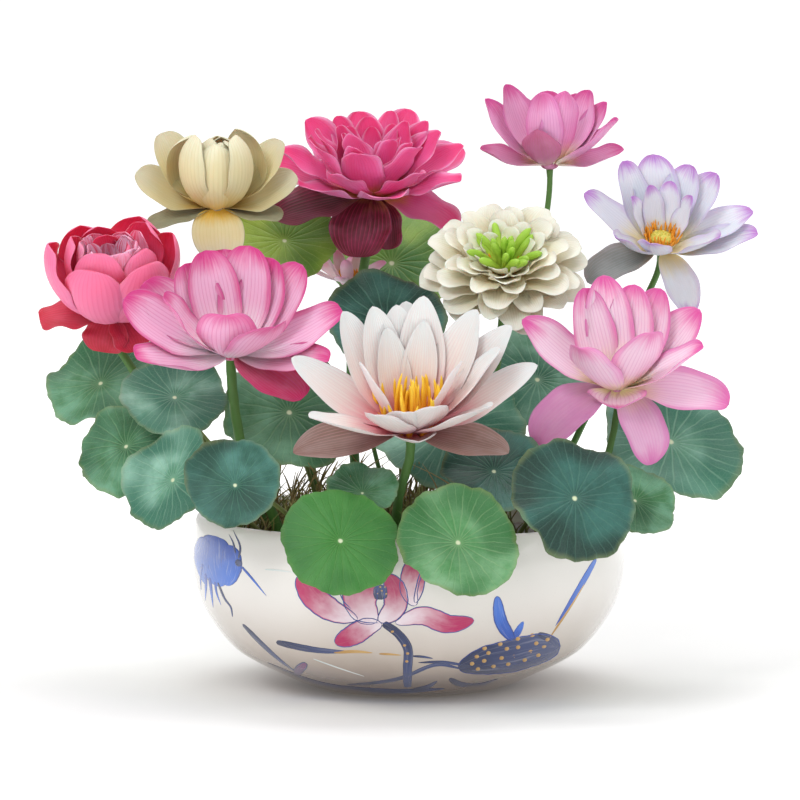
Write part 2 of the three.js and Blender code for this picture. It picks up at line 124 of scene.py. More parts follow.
def curve_through(points: np.ndarray, count: int) -> np.ndarray:
    """Points spaced evenly along a centripetal Catmull-Rom curve.

    Each span is the cubic whose end slopes come from its neighbours,
    weighted by the square root of the distances between the points.

    Args:
        points: the points the curve passes through, (n, 3).
        count: how many points to return.
    """
    p = np.vstack([2 * points[0] - points[1], points, 2 * points[-1] - points[-2]])
    step = np.sqrt(np.linalg.norm(np.diff(p, axis=0), axis=1))
    t = np.linspace(0, 1, 33)[:-1, None]
    spans = []
    for i in range(1, len(p) - 2):
        d0, d1, d2 = step[i - 1], step[i], step[i + 1]
        a, b, c, d = p[i - 1 : i + 3]
        m1 = ((b - a) / d0 - (c - a) / (d0 + d1) + (c - b) / d1) * d1
        m2 = ((c - b) / d1 - (d - b) / (d1 + d2) + (d - c) / d2) * d1
        spans.append(
            b + m1 * t + (3 * (c - b) - 2 * m1 - m2) * t**2 + (2 * (b - c) + m1 + m2) * t**3
        )
    line = np.vstack([*spans, points[-1:]])
    reach = np.concatenate([[0], np.cumsum(np.linalg.norm(np.diff(line, axis=0), axis=1))])
    at = np.linspace(0, reach[-1], count)
    return np.stack([np.interp(at, reach, line[:, k]) for k in range(3)], axis=1)


def profile_through(points: list[tuple[float, float]], count: int) -> np.ndarray:
    """Evenly spaced [radius, height] points along a smooth section line."""
    flat = np.array([(r, 0.0, z) for r, z in points], float)
    return curve_through(flat, count)[:, [0, 2]]


# ------------------------------------------------------------------- meshes
@dataclass
class Shell:
    """Closed surfaces gathered into one piece, with their own UV map.

    Every surface is a lattice of points. uv holds two numbers a point and
    tint three more, which the materials read as the attribute "tint".
    """

    verts: list = field(default_factory=list)
    faces: list = field(default_factory=list)
    uvs: list = field(default_factory=list)
    tints: list = field(default_factory=list)
    slots: list = field(default_factory=list)
    size: int = 0

    def add(self, points, uv=None, tint=(0, 0, 0), wrap=True, slot=0) -> None:
        """Adds lattices (copies, rows, columns, 3), closed round the columns.

        The first and last row of each copy are closed by a fan to their
        middle, so a row that is one repeated point is simply a pole. With
        wrap off, the lattice must be a whole surface folded shut by itself.
        """
        points = np.asarray(points, float)
        if points.ndim == 3:
            points = points[None]
        k, r, c, _ = points.shape
        uv = np.zeros((k, r, c, 2)) if uv is None else np.broadcast_to(uv, (k, r, c, 2))
        tint = np.broadcast_to(np.asarray(tint, float), (k, r, c, 3))
        index = np.arange(k * r * c).reshape(k, r, c)
        nxt = np.roll(index, -1, axis=2) if wrap else index
        a, b = index[:, :-1], nxt[:, :-1]
        d, e = index[:, 1:], nxt[:, 1:]
        if not wrap:
            a, b, d, e = a[..., :-1], a[..., 1:], d[..., :-1], d[..., 1:]
        quads = np.stack([a, b, e, d], axis=-1).reshape(-1, 4) + self.size
        self.faces.append(quads)
        flat = [points.reshape(-1, 3), uv.reshape(-1, 2), tint.reshape(-1, 3)]
        extra = 0
        if wrap:
            ends = k * r * c + np.arange(2 * k).reshape(k, 2)
            first = np.stack([nxt[:, 0], index[:, 0], np.repeat(ends[:, :1], c, 1)], -1)
            last = np.stack([index[:, -1], nxt[:, -1], np.repeat(ends[:, 1:], c, 1)], -1)
            self.faces.append(np.concatenate([first, last]).reshape(-1, 3) + self.size)
            pick = [points, uv, tint]
            for i, source in enumerate(pick):
                middle = source[:, [0, -1]].mean(axis=2).reshape(2 * k, -1)
                flat[i] = np.vstack([flat[i], middle])
            extra = 2 * k
        self.verts.append(flat[0])
        self.uvs.append(flat[1])
        self.tints.append(flat[2])
        count = sum(len(f) for f in self.faces) - sum(len(s) for s in self.slots)
        self.slots.append(np.full(count, slot))
        self.size += k * r * c + extra

    def place(self, turn: np.ndarray, move) -> "Shell":
        """Turns and moves everything gathered so far, in millimetres."""
        self.verts = [v @ turn.T + np.asarray(move, float) for v in self.verts]
        return self

    def join(self, other: "Shell", slot: int) -> None:
        """Takes over another shell's surfaces, under one material slot."""
        self.verts += other.verts
        self.uvs += other.uvs
        self.tints += other.tints
        self.faces += [f + self.size for f in other.faces]
        self.slots += [np.full_like(s, slot) for s in other.slots]
        self.size += other.size

    def make(self, name: str, materials: list, slot: str, replaces: tuple = ()):
        """Args:
            name: the piece's name.
            materials: its materials, in the order of the surfaces' slots.
            slot: the record's material slot. Not used.
            replaces: CAD nodes that the piece stands for.

        Returns:
            The Blender object.
        """
        verts, uvs = np.vstack(self.verts) * MM, np.vstack(self.uvs)
        tints = np.vstack(self.tints)
        faces = [f for block in self.faces for f in block.tolist()]
        mesh = bpy.data.meshes.new(name)
        mesh.from_pydata(verts.tolist(), [], faces)
        loops = np.empty(len(mesh.loops), np.int32)
        mesh.loops.foreach_get("vertex_index", loops)
        layer = mesh.uv_layers.new(name="surface")
        layer.data.foreach_set("uv", uvs[loops].astype(np.float32).ravel())
        cloud = mesh.attributes.new("tint", "FLOAT_VECTOR", "POINT")
        cloud.data.foreach_set("vector", tints.astype(np.float32).ravel())
        for material in materials:
            mesh.materials.append(material)
        mesh.polygons.foreach_set("material_index", np.concatenate(self.slots).astype(np.int32))
        weld_and_face_out(mesh)
        mesh.shade_smooth()
        piece = bpy.data.objects.new(name, mesh)
        bpy.context.scene.collection.objects.link(piece)
        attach(piece, BODY)
        if replaces:
            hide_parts(*replaces)
        log.info("%s: %d faces", name, len(mesh.polygons))
        return piece


def weld_and_face_out(mesh: bpy.types.Mesh) -> None:
    """Merges repeated corners and turns every closed surface outwards."""
    import bmesh

    bm = bmesh.new()
    bm.from_mesh(mesh)
    bmesh.ops.remove_doubles(bm, verts=bm.verts, dist=2e-6)
    bmesh.ops.dissolve_degenerate(bm, edges=bm.edges, dist=1e-7)
    bmesh.ops.recalc_face_normals(bm, faces=bm.faces)
    bm.to_mesh(mesh)
    bm.free()


def tube_rings(line: np.ndarray, radius: np.ndarray, sides: int, bumps: float = 0.0):
    """Rings of a round tube along a line.

    Each ring is line + radius * (cos a * n + sin a * b), where n and b are
    square to the line's direction and as near as can be to one fixed side.

    Args:
        line: (rows, 3) points.
        radius: (rows,) radii.
        sides: points round a ring.
        bumps: part of the radius that a fine unevenness may add.
    """
    along = unit(np.gradient(line, axis=0))
    chord = unit(line[-1] - line[0])
    side = unit(np.cross(chord, [0.31, 0.95, 0.02] if abs(chord[0]) > 0.5 else [1.0, 0.1, 0.0]))
    n = unit(side - (along @ side)[:, None] * along)
    b = np.cross(along, n)
    a = np.linspace(0, 2 * np.pi, sides, endpoint=False)
    rough = 1 + bumps * np.sin(3 * a[None] + 0.9 * np.arange(len(line))[:, None])
    r = radius[:, None, None] * rough[..., None]
    return line[:, None] + r * (np.cos(a)[:, None] * n[:, None] + np.sin(a)[:, None] * b[:, None])


def turned(profile: np.ndarray, count: int) -> np.ndarray:
    """Rings of a surface of revolution about +Z, one for each profile point."""
    a = np.linspace(0, 2 * np.pi, count, endpoint=False)
    r, z = profile[:, :1], profile[:, 1:]
    return np.stack([r * np.cos(a), r * np.sin(a), np.broadcast_to(z, (len(profile), count))], -1)


# ---------------------------------------------------------------- materials
class Graph:
    """A thin builder over a node tree."""

    def __init__(self, tree: bpy.types.NodeTree):
        self.tree = tree

    def add(self, kind: str, values: dict | None = None, **settings):
        """Adds a node, sets its properties, and links or sets its inputs."""
        node = self.tree.nodes.new(kind)
        for key, value in settings.items():
            setattr(node, key, value)
        for key, value in (values or {}).items():
            self.feed(node.inputs[key], value)
        return node

    def feed(self, socket, value) -> None:
        """Links a socket to another, or sets its value."""
        if isinstance(value, bpy.types.NodeSocket):
            self.tree.links.new(value, socket)
        else:
            socket.default_value = value

    def math(self, operation: str, a, b=0.0, c=0.0, clamp: bool = False):
        """One Math node's result."""
        node = self.add("ShaderNodeMath", {0: a, 1: b, 2: c}, operation=operation)
        node.use_clamp = clamp
        return node.outputs[0]

    def step(self, value, low: float, high: float):
        """Smooth step of a value from low to high, giving 0 to 1."""
        node = self.add(
            "ShaderNodeMapRange", {0: value, 1: low, 2: high}, interpolation_type="SMOOTHSTEP"
        )
        return node.outputs[0]

    def blend(self, share, a, b, mode: str = "MIX"):
        """Mix of two colours."""
        node = self.add(
            "ShaderNodeMix", {0: share, 6: a, 7: b}, data_type="RGBA", blend_type=mode
        )
        return node.outputs[2]

    def noise(self, vector, scale: float, detail: float = 3.0, rough: float = 0.55):
        """Noise value from 0 to 1."""
        node = self.add(
            "ShaderNodeTexNoise",
            {"Vector": vector, "Scale": scale, "Detail": detail, "Roughness": rough},
        )
        return node.outputs[0]

    def place(self):
        """Object coordinates."""
        return self.add("ShaderNodeTexCoord").outputs["Object"]

    def uv(self):
        """The piece's own UV map, as (u, v) values and as a vector."""
        vector = self.add("ShaderNodeUVMap", uv_map="surface").outputs[0]
        split = self.add("ShaderNodeSeparateXYZ", {0: vector})
        return split.outputs[0], split.outputs[1], vector

    def tint(self):
        """The three numbers of the attribute "tint"."""
        source = self.add("ShaderNodeAttribute", attribute_name="tint").outputs["Vector"]
        return self.add("ShaderNodeSeparateXYZ", {0: source}).outputs

    def join(self, x, y, z=0.0):
        """A vector from three values."""
        return self.add("ShaderNodeCombineXYZ", {0: x, 1: y, 2: z}).outputs[0]


def new_group(name: str, inputs: list[tuple], outputs: list[tuple]):
    """Makes a shader node group with named sockets.

    Args:
        name: the group's name.
        inputs: (name, socket type, default) for each input.
        outputs: (name, socket type) for each output.

    Returns:
        The graph, the group's inputs by name, and its output node.
    """
    tree = bpy.data.node_groups.new(name, "ShaderNodeTree")
    for label, kind, default in inputs:
        socket = tree.interface.new_socket(label, in_out="INPUT", socket_type=kind)
        socket.default_value = default
    for label, kind in outputs:
        tree.interface.new_socket(label, in_out="OUTPUT", socket_type=kind)
    graph = Graph(tree)
    source = graph.add("NodeGroupInput").outputs
    return graph, source, graph.add("NodeGroupOutput")


COLOR, FLOAT = "NodeSocketColor", "NodeSocketFloat"
GREY = (0.5, 0.5, 0.5, 1.0)


def petal_group() -> bpy.types.NodeTree:
    """Colour and relief of a petal.

    v runs from the claw to the tip and u across. The colour goes from Base
    to Mid to Tip along v, with Edge along the sides, streaked lengthwise by
    noise; Back tints the outer side. Guard takes over by tint x, and below
    zero tint x brings streaks of Base back as painted highlights.
    """
    names = ["Base", "Mid", "Tip", "Edge", "Back", "Guard", "Vein"]
    g, source, out = new_group(
        "PetalTint",
        [(n, COLOR, GREY) for n in names]
        + [("Base end", FLOAT, 0.3), ("Tip start", FLOAT, 0.55), ("Edge share", FLOAT, 0.5),
           ("Back share", FLOAT, 0.3), ("Vein share", FLOAT, 0.3)],
        [("Color", COLOR), ("Height", FLOAT)],
    )  # fmt: skip
    u, v, _ = g.uv()
    guard, inner, seed = g.tint()
    across = g.math("ABSOLUTE", g.math("MULTIPLY_ADD", u, 2.0, -1.0))
    shift = g.math("MULTIPLY", seed, 37.0)
    streaks = g.noise(g.join(g.math("MULTIPLY", u, 26.0), g.math("MULTIPLY", v, 1.6), shift), 1.0)
    cloud = g.noise(g.join(g.math("MULTIPLY", u, 3.0), g.math("MULTIPLY", v, 3.0), shift), 1.0)
    wander = g.math("MULTIPLY_ADD", g.math("ADD", streaks, cloud), 0.22, -0.22)
    at = g.math("ADD", v, wander)
    near = g.math("DIVIDE", at, source["Base end"])
    base = g.blend(g.step(near, 0.15, 1.0), source["Base"], source["Mid"])
    far = g.math(
        "DIVIDE",
        g.math("SUBTRACT", at, source["Tip start"]),
        g.math("SUBTRACT", 1.0, source["Tip start"]),
    )
    body = g.blend(g.step(far, 0.0, 1.0), base, source["Tip"])
    rim = g.math("MULTIPLY", g.step(g.math("ADD", across, wander), 0.62, 1.0), source["Edge share"])
    body = g.blend(g.math("MULTIPLY", rim, g.step(v, 0.1, 0.5)), body, source["Edge"])
    outside = g.math("MULTIPLY", g.math("SUBTRACT", 1.0, inner), source["Back share"])
    body = g.blend(outside, body, source["Back"])
    guarded = g.math("MULTIPLY", guard, g.math("MULTIPLY_ADD", cloud, 0.5, 0.7), clamp=True)
    body = g.blend(guarded, body, source["Guard"])
    # Painted highlights: below zero, tint x lays streaks of the pale Base colour over crumpled inner
    # petals.
    pale = g.math("MULTIPLY", g.math("MULTIPLY", guard, -1.0, clamp=True), g.step(streaks, 0.3, 0.6))
    body = g.blend(pale, body, source["Base"])
    wave = g.math("SINE", g.math("MULTIPLY", g.math("ADD", u, g.math("MULTIPLY", wander, 0.05)), 92.0))
    vein = g.step(wave, 0.45, 1.0)
    lined = g.math("MULTIPLY", g.math("MULTIPLY", vein, source["Vein share"]), g.step(v, 0.0, 0.25))
    lined = g.math("MULTIPLY", lined, g.math("MULTIPLY_ADD", streaks, 1.2, 0.2))
    colour = g.blend(lined, body, source["Vein"])
    value = g.math("MULTIPLY_ADD", g.math("ADD", seed, streaks), 0.1, 0.9)
    shade = g.add("ShaderNodeHueSaturation", {"Value": value, "Color": colour})
    relief = g.math("MULTIPLY_ADD", wave, 0.35, g.math("MULTIPLY", streaks, 0.9))
    g.feed(out.inputs["Color"], shade.outputs[0])
    g.feed(out.inputs["Height"], relief)
    return g.tree


def leaf_group() -> bpy.types.NodeTree:
    """Colour and relief of a round leaf.

    The UV map is the flat disc. Twenty-one veins run from the middle and
    fork past half way; between them a fine net. The bluish wax cast lies in
    soft clouds, and towards the rim it is also a painted highlight. A large
    patch of painted shade darkens one side of the leaf.
    """
    g, source, out = new_group(
        "LeafTint",
        [(n, COLOR, GREY) for n in ("Green", "Shaded_side", "Bloom_and_highlight", "Vein", "Heart", "Under", "Dry")]
        + [("Bloom share", FLOAT, 0.5), ("Dry share", FLOAT, 0.3), ("Vein share", FLOAT, 0.3)],
        [("Color", COLOR), ("Height", FLOAT), ("Roughness", FLOAT)],
    )
    u, v, _ = g.uv()
    _, top, seed = g.tint()
    x = g.math("MULTIPLY_ADD", u, 2.0, -1.0)
    y = g.math("MULTIPLY_ADD", v, 2.0, -1.0)
    radius = g.math("SQRT", g.math("MULTIPLY_ADD", x, x, g.math("MULTIPLY", y, y)))
    flat = g.join(x, y, g.math("MULTIPLY", seed, 11.0))
    wobble = g.math("MULTIPLY_ADD", g.noise(flat, 3.0), 0.16, -0.08)
    angle = g.math("ADD", g.math("ARCTAN2", y, x), wobble)

    def ribs(turns: float, width: float):
        """Lines at equal angles, as wide all the way out."""
        part = g.math("FRACT", g.math("MULTIPLY_ADD", angle, turns / (2 * math.pi), 40.5))
        gap = g.math("ABSOLUTE", g.math("SUBTRACT", part, 0.5))
        reach = g.math("MULTIPLY", g.math("MULTIPLY", gap, radius), 2 * math.pi / turns)
        return g.math("SUBTRACT", 1.0, g.step(reach, width * 0.3, width))

    main = g.math("MULTIPLY", ribs(LEAF_VEINS, 0.017), g.step(radius, 1.0, 0.6))
    forks = g.math("MULTIPLY", ribs(2 * LEAF_VEINS, 0.011), g.step(radius, 0.4, 0.75))
    cells = g.add("ShaderNodeTexVoronoi", {"Vector": flat, "Scale": 17.0}, feature="DISTANCE_TO_EDGE")
    net = g.math("SUBTRACT", 1.0, g.step(cells.outputs["Distance"], 0.0, 0.09))
    veins = g.math("MAXIMUM", main, g.math("MULTIPLY", forks, 0.7))
    veins = g.math("MAXIMUM", veins, g.math("MULTIPLY", net, 0.22))
    cloud = g.noise(flat, 2.2, 4.0)
    fine = g.noise(flat, 28.0, 2.0)
    # Bluish wax cast in soft clouds, and towards the rim also a painted highlight.
    wax_cast_and_highlight = g.math("MULTIPLY", g.step(g.math("MULTIPLY_ADD", radius, 0.25, cloud), 0.42, 0.85),
                  source["Bloom share"])  # fmt: skip
    body = g.blend(wax_cast_and_highlight, source["Green"], source["Bloom_and_highlight"])
    # Painted shade: a large darker patch over one side of the leaf.
    sides = g.noise(g.join(x, y, g.math("MULTIPLY_ADD", seed, 23.0, 4.0)), 0.9, 1.0)
    body = g.blend(g.step(sides, 0.62, 0.38), body, source["Shaded_side"])
    body = g.blend(g.math("MULTIPLY", veins, source["Vein share"]), body, source["Vein"])
    rim = g.math("MULTIPLY", g.step(g.math("MULTIPLY_ADD", cloud, 0.2, radius), 1.0, 1.12),
                 source["Dry share"])  # fmt: skip
    body = g.blend(rim, body, source["Dry"])
    body = g.blend(g.step(radius, 0.052, 0.022), body, source["Heart"])
    under = g.blend(g.math("MULTIPLY", veins, 0.6), source["Under"], source["Vein"])
    body = g.blend(top, under, body)
    value = g.math("MULTIPLY_ADD", g.math("ADD", fine, cloud), 0.16, 0.84)
    shade = g.add("ShaderNodeHueSaturation", {"Value": value, "Color": body})
    g.feed(out.inputs["Color"], shade.outputs[0])
    relief = g.math("MULTIPLY_ADD", fine, 0.25, g.math("MULTIPLY", veins, -1.0))
    g.feed(out.inputs["Height"], relief)
    g.feed(out.inputs["Roughness"], g.math("MULTIPLY_ADD", cloud, 0.25, 0.36))
    return g.tree


def speckle_group() -> bpy.types.NodeTree:
    """Two colours mixed by noise in object space, for stalks, mud and pods."""
    g, source, out = new_group(
        "SpeckleTint",
        [("Low", COLOR, GREY), ("High", COLOR, GREY), ("Scale", FLOAT, 100.0),
         ("Stretch", FLOAT, 1.0)],
        [("Color", COLOR), ("Height", FLOAT)],
    )  # fmt: skip
    split = g.add("ShaderNodeSeparateXYZ", {0: g.place()}).outputs
    at = g.join(split[0], split[1], g.math("MULTIPLY", split[2], source["Stretch"]))
    noise = g.add(
        "ShaderNodeTexNoise", {"Vector": at, "Scale": source["Scale"], "Detail": 5.0, "Roughness": 0.6}
    ).outputs[0]
    g.feed(out.inputs["Color"], g.blend(g.step(noise, 0.32, 0.68), source["Low"], source["High"]))
    g.feed(out.inputs["Height"], noise)
    return g.tree


def brush_group() -> bpy.types.NodeTree:
    """Underglaze brushwork: Start to End along v, Rim at the sides.

    Hairs drawn lengthwise by stretched noise thin the paint towards Ground.
    """
    g, source, out = new_group(
        "BrushWash",
        [(n, COLOR, GREY) for n in ("Start", "End", "Rim", "Ground")]
        + [("Rim width", FLOAT, 0.2), ("Dryness", FLOAT, 0.4)],
        [("Color", COLOR)],
    )
    u, v, _ = g.uv()
    seed = g.tint()[2]
    across = g.math("ABSOLUTE", g.math("MULTIPLY_ADD", u, 2.0, -1.0))
    shift = g.math("MULTIPLY", seed, 53.0)
    hairs = g.noise(g.join(g.math("MULTIPLY", u, 16.0), g.math("MULTIPLY", v, 2.2), shift), 1.0)
    pool = g.noise(g.join(g.math("MULTIPLY", u, 2.0), g.math("MULTIPLY", v, 4.0), shift), 1.0)
    along = g.step(g.math("MULTIPLY_ADD", pool, 0.5, v), 0.2, 1.1)
    wash = g.blend(along, source["Start"], source["End"])
    edge = g.math("SUBTRACT", 1.0, source["Rim width"])
    rim = g.step(g.math("SUBTRACT", g.math("MULTIPLY_ADD", hairs, 0.1, across), edge), 0.0, 0.14)
    wash = g.blend(rim, wash, source["Rim"])
    bare = g.math("MULTIPLY", g.step(hairs, 0.52, 0.74), source["Dryness"])
    g.feed(out.inputs["Color"], g.blend(bare, wash, source["Ground"]))
    return g.tree


def material(name: str, **inputs):
    """A new material: its graph and its Principled node, with fixed values set."""
    made = bpy.data.materials.new(name)
    made.use_nodes = True
    graph = Graph(made.node_tree)
    shader = made.node_tree.nodes["Principled BSDF"]
    for key, value in inputs.items():
        graph.feed(shader.inputs[key.replace("_", " ")], value)
    return made, graph, shader


def bumped(graph: Graph, shader, height, strength: float, distance: float) -> None:
    """Feeds a height to the shader's normal through a Bump node."""
    bump = graph.add(
        "ShaderNodeBump", {"Strength": strength, "Distance": distance * MM, "Height": height}
    )
    graph.feed(shader.inputs["Normal"], bump.outputs[0])


@dataclass(frozen=True)
class PetalFinish:
    """How one flower's petals are coloured, as hexadecimal sRGB colours."""

    base: str
    mid: str
    tip: str
    edge: str
    back: str
    guard: str
    vein: str
    base_end: float = 0.3
    tip_start: float = 0.55
    edge_share: float = 0.5
    back_share: float = 0.3
    vein_share: float = 0.25
    glow: float = 0.22

    def make(self, name: str, tree: bpy.types.NodeTree) -> bpy.types.Material:
        """Builds the material with the shared petal group."""
        made, g, shader = material(
            f"petal_{name}",
            Roughness=0.5,
            Specular_IOR_Level=0.35,
            Subsurface_Weight=self.glow,
            Subsurface_Radius=(0.9, 0.45, 0.4),
            Subsurface_Scale=2.5 * MM,
            Sheen_Weight=0.05,
            Sheen_Roughness=0.5,
        )
        tint = g.add("ShaderNodeGroup", node_tree=tree)
        for key in ("base", "mid", "tip", "edge", "back", "guard", "vein"):
            tint.inputs[key.capitalize()].default_value = linear(getattr(self, key))
        for key in ("base_end", "tip_start", "edge_share", "back_share", "vein_share"):
            tint.inputs[key.capitalize().replace("_", " ")].default_value = getattr(self, key)
        g.feed(shader.inputs["Base Color"], tint.outputs["Color"])
        bumped(g, shader, tint.outputs["Height"], 0.35, 0.35)
        return made


@dataclass(frozen=True)
class LeafFinish:
    """How a leaf is coloured."""

    # Second colour: painted shade for the leaf's darker side. Third colour: its bluish wax cast, which
    # towards the rim is also a painted highlight.
    green: str
    shaded_side: str
    bloom_and_highlight: str
    vein: str
    under: str
    dry: str = "8f8a4a"
    heart: str = "cfd8b4"
    bloom_and_highlight_share: float = 0.5
    dry_share: float = 0.3
    vein_share: float = 0.3

    def make(self, name: str, tree: bpy.types.NodeTree) -> bpy.types.Material:
        """Builds the material with the shared leaf group."""
        made, g, shader = material(
            name, Subsurface_Weight=0.05, Subsurface_Radius=(0.4, 0.8, 0.2),
            Subsurface_Scale=1.5 * MM, Sheen_Weight=0.06, Sheen_Roughness=0.4,
            Specular_IOR_Level=0.4,
        )  # fmt: skip
        tint = g.add("ShaderNodeGroup", node_tree=tree)
        for key in ("green", "shaded_side", "bloom_and_highlight", "vein", "heart", "under", "dry"):
            tint.inputs[key.capitalize()].default_value = linear(getattr(self, key))
        tint.inputs["Bloom share"].default_value = self.bloom_and_highlight_share
        tint.inputs["Dry share"].default_value = self.dry_share
        tint.inputs["Vein share"].default_value = self.vein_share
        g.feed(shader.inputs["Base Color"], tint.outputs["Color"])
        g.feed(shader.inputs["Roughness"], tint.outputs["Roughness"])
        bumped(g, shader, tint.outputs["Height"], 0.6, 0.5)
        return made


@dataclass(frozen=True)
class Speckle:
    """A two-tone natural surface."""

    low: str
    high: str
    scale: float = 300.0
    stretch: float = 0.3
    roughness: float = 0.6
    depth: float = 0.4

    def make(self, name: str, tree: bpy.types.NodeTree) -> bpy.types.Material:
        """Builds the material with the shared speckle group."""
        made, g, shader = material(name, Roughness=self.roughness)
        tint = g.add("ShaderNodeGroup", node_tree=tree)
        tint.inputs["Low"].default_value = linear(self.low)
        tint.inputs["High"].default_value = linear(self.high)
        tint.inputs["Scale"].default_value = self.scale
        tint.inputs["Stretch"].default_value = self.stretch
        g.feed(shader.inputs["Base Color"], tint.outputs["Color"])
        bumped(g, shader, tint.outputs["Height"], 0.5, self.depth)
        return made


@dataclass(frozen=True)
class Ink:
    """One underglaze colour of the brushwork."""

    start: str
    end: str
    rim: str
    rim_width: float = 0.0
    dryness: float = 0.35

    def make(self, name: str, tree: bpy.types.NodeTree) -> bpy.types.Material:
        """Builds the glazed paint with the shared brush group."""
        made, g, shader = material(
            name, Roughness=0.22, Coat_Weight=0.7, Coat_Roughness=0.08
        )
        wash = g.add("ShaderNodeGroup", node_tree=tree)
        for key in ("start", "end", "rim"):
            wash.inputs[key.capitalize()].default_value = linear(getattr(self, key))
        wash.inputs["Ground"].default_value = linear("e9e9ea")
        wash.inputs["Rim width"].default_value = self.rim_width
        wash.inputs["Dryness"].default_value = self.dryness
        g.feed(shader.inputs["Base Color"], wash.outputs["Color"])
        return made


def glaze_material() -> bpy.types.Material:
    """Warm off-white bowl glaze.

    It is browner and darker low down, which is painted shade. It has faint
    clouds and pinholes, and leaves the foot under the base unglazed.
    """
    made, g, shader = material("bowl_glaze", Coat_Weight=0.8, Coat_Roughness=0.06, IOR=1.5)
    place = g.place()
    height = g.add("ShaderNodeSeparateXYZ", {0: place}).outputs[2]
    cloud = g.noise(place, 14.0, 4.0)
    level = g.math("MULTIPLY_ADD", cloud, 0.02, height)
    # Painted shade: the glaze turns browner low on the bowl and darker still near the floor.
    low_painted_shade = g.step(level, 0.1, 0.025)
    foot_painted_shade = g.step(level, 0.056, 0.012)
    colour = g.blend(low_painted_shade, linear("ebe7e2"), linear("c9bbae"))
    colour = g.blend(g.math("MULTIPLY", foot_painted_shade, 0.9), colour, linear("806b5e"))
    pin = g.step(g.noise(place, 900.0, 1.0), 0.72, 0.78)
    colour = g.blend(g.math("MULTIPLY", pin, 0.14), colour, linear("8d7f74"))
    colour = g.blend(g.step(height, 0.0012, 0.0002), colour, linear("c9b49b"))
    g.feed(shader.inputs["Base Color"], colour)
    g.feed(shader.inputs["Roughness"], g.math("MULTIPLY_ADD", cloud, 0.12, 0.12))
    bumped(g, shader, g.noise(place, 60.0, 2.0), 0.12, 0.3)
    return made


# ------------------------------------------------------------------ flowers
class Centre(Enum):
    """What stands in the middle of a flower; a hidden centre has no piece."""

    POD = "pod ringed by stamens"
    FINGERS = "tall finger-like stamens"
    CARPELS = "green finger-like carpels"
    HIDDEN = "closed under the petals"


def whorl(count, start, length, width, rise0, rise1, cup, tone=0.0) -> list[tuple]:
    """A whorl of equal petals, each varied a little from its neighbours."""
    rows = []
    for i in range(count):
        sway = math.sin(2.4 * i + 0.05 * start)
        rows.append(
            (start + 360 * i / count + 3 * sway, length * (1 + 0.04 * sway), width,
             rise0 + 3 * sway, rise1 - 4 * sway, cup, tone)
        )  # fmt: skip
    return rows


@dataclass
class Petal:
    """One petal of a flower, in the flower's own frame."""

    azimuth: float
    length: float
    width: float
    rise0: float
    rise1: float
    cup: float
    tone: float = 0.0
    broad: float = 0.6
    sharp: float = 0.55
    ripple: float = 1.0
    curl: float = 12.0
    face: float = 0.0
    seed: float = 0.5
    rows: int = 26
    columns: int = 22

    def lattice(self, radius: float, height: float):
        """The closed blade.

        The spine's rise goes evenly from rise0 to rise1 and curls at the
        tip; its place is the running sum of (cos rise, sin rise). The half
        width is s^broad (1 - s)^sharp, scaled to the width, and the section
        is an arc of half angle cup. Waves grow towards the sides, a groove
        runs down the middle, and the blade thins to its edge. A petal that
        points sideways is twisted by face degrees towards the front.

        Args:
            radius: distance of the claw from the flower's axis.
            height: height of the claw.

        Returns:
            Points (rows, columns, 3), their UVs and their tints.
        """
        t = np.linspace(0, 1, self.rows)
        s = 0.35 * t + 0.65 * (1 - np.cos(np.pi * t)) / 2
        fine = np.linspace(0, 1, PETAL_STEPS + 1)
        lift = self.curl * smooth(0.72, 1.0, fine) * (1 if self.rise1 < 95 else -1)
        rise = np.radians(self.rise0 + (self.rise1 - self.rise0) * fine - lift)
        step = self.length / PETAL_STEPS
        run = np.concatenate([[0], np.cumsum(np.cos(rise))[:-1]]) * step + radius
        climb = np.concatenate([[0], np.cumsum(np.sin(rise))[:-1]]) * step + height
        a = np.interp(s, fine, rise)[:, None]
        r, z = np.interp(s, fine, run)[:, None], np.interp(s, fine, climb)[:, None]
        total = self.broad + self.sharp
        peak = (self.broad / total) ** self.broad * (self.sharp / total) ** self.sharp
        half = (self.width / 2) * (s**self.broad * (1 - s) ** self.sharp / peak)[:, None]
        turn = 2 * np.pi * np.arange(self.columns) / self.columns
        x, side = np.cos(turn)[None], np.sin(turn)[None]
        sm = s[:, None]
        phase = 6.28 * self.seed
        wave = self.ripple * np.abs(x) ** 2.5 * np.sin(13 * sm + phase + 2.1 * np.sign(x))
        wave = wave * smooth(0.15, 0.6, sm) * np.minimum(half, 8) / 8
        groove = -0.7 * np.exp(-((x / 0.13) ** 2)) * np.minimum(half, 5) / 5
        ribs = 0.10 * np.sin(15 * x) * np.minimum(half, 5) / 5
        fat = 0.34 * side * np.minimum(half, 1.0)
        arc = half / self.cup
        flat = arc * np.sin(self.cup * x)
        bent = arc * (1 - np.cos(self.cup * x)) + wave + groove + ribs + fat
        way = math.radians(self.azimuth)
        twist = math.radians(self.face) * math.cos(way) * np.clip(1 + 1.2 * math.sin(way), 0, 1)
        round_spine = twist * np.minimum(1, 2.5 * sm)
        lateral = flat * np.cos(round_spine) - bent * np.sin(round_spine)
        lift = flat * np.sin(round_spine) + bent * np.cos(round_spine)
        lean = 0.05 * self.length * math.sin(9.1 * self.seed) * sm**2
        points = np.stack(
            [r - np.sin(a) * lift, lateral + lean, z + np.cos(a) * lift], axis=-1
        )
        uv = np.stack(np.broadcast_arrays((x + 1) / 2, sm), axis=-1)
        inner = np.broadcast_to(0.5 + 0.5 * np.clip(side * 4, -1, 1), uv.shape[:2])
        tint = np.stack([np.full(inner.shape, self.tone), inner, np.full(inner.shape, self.seed)], -1)
        return spun(points, self.azimuth), uv, tint


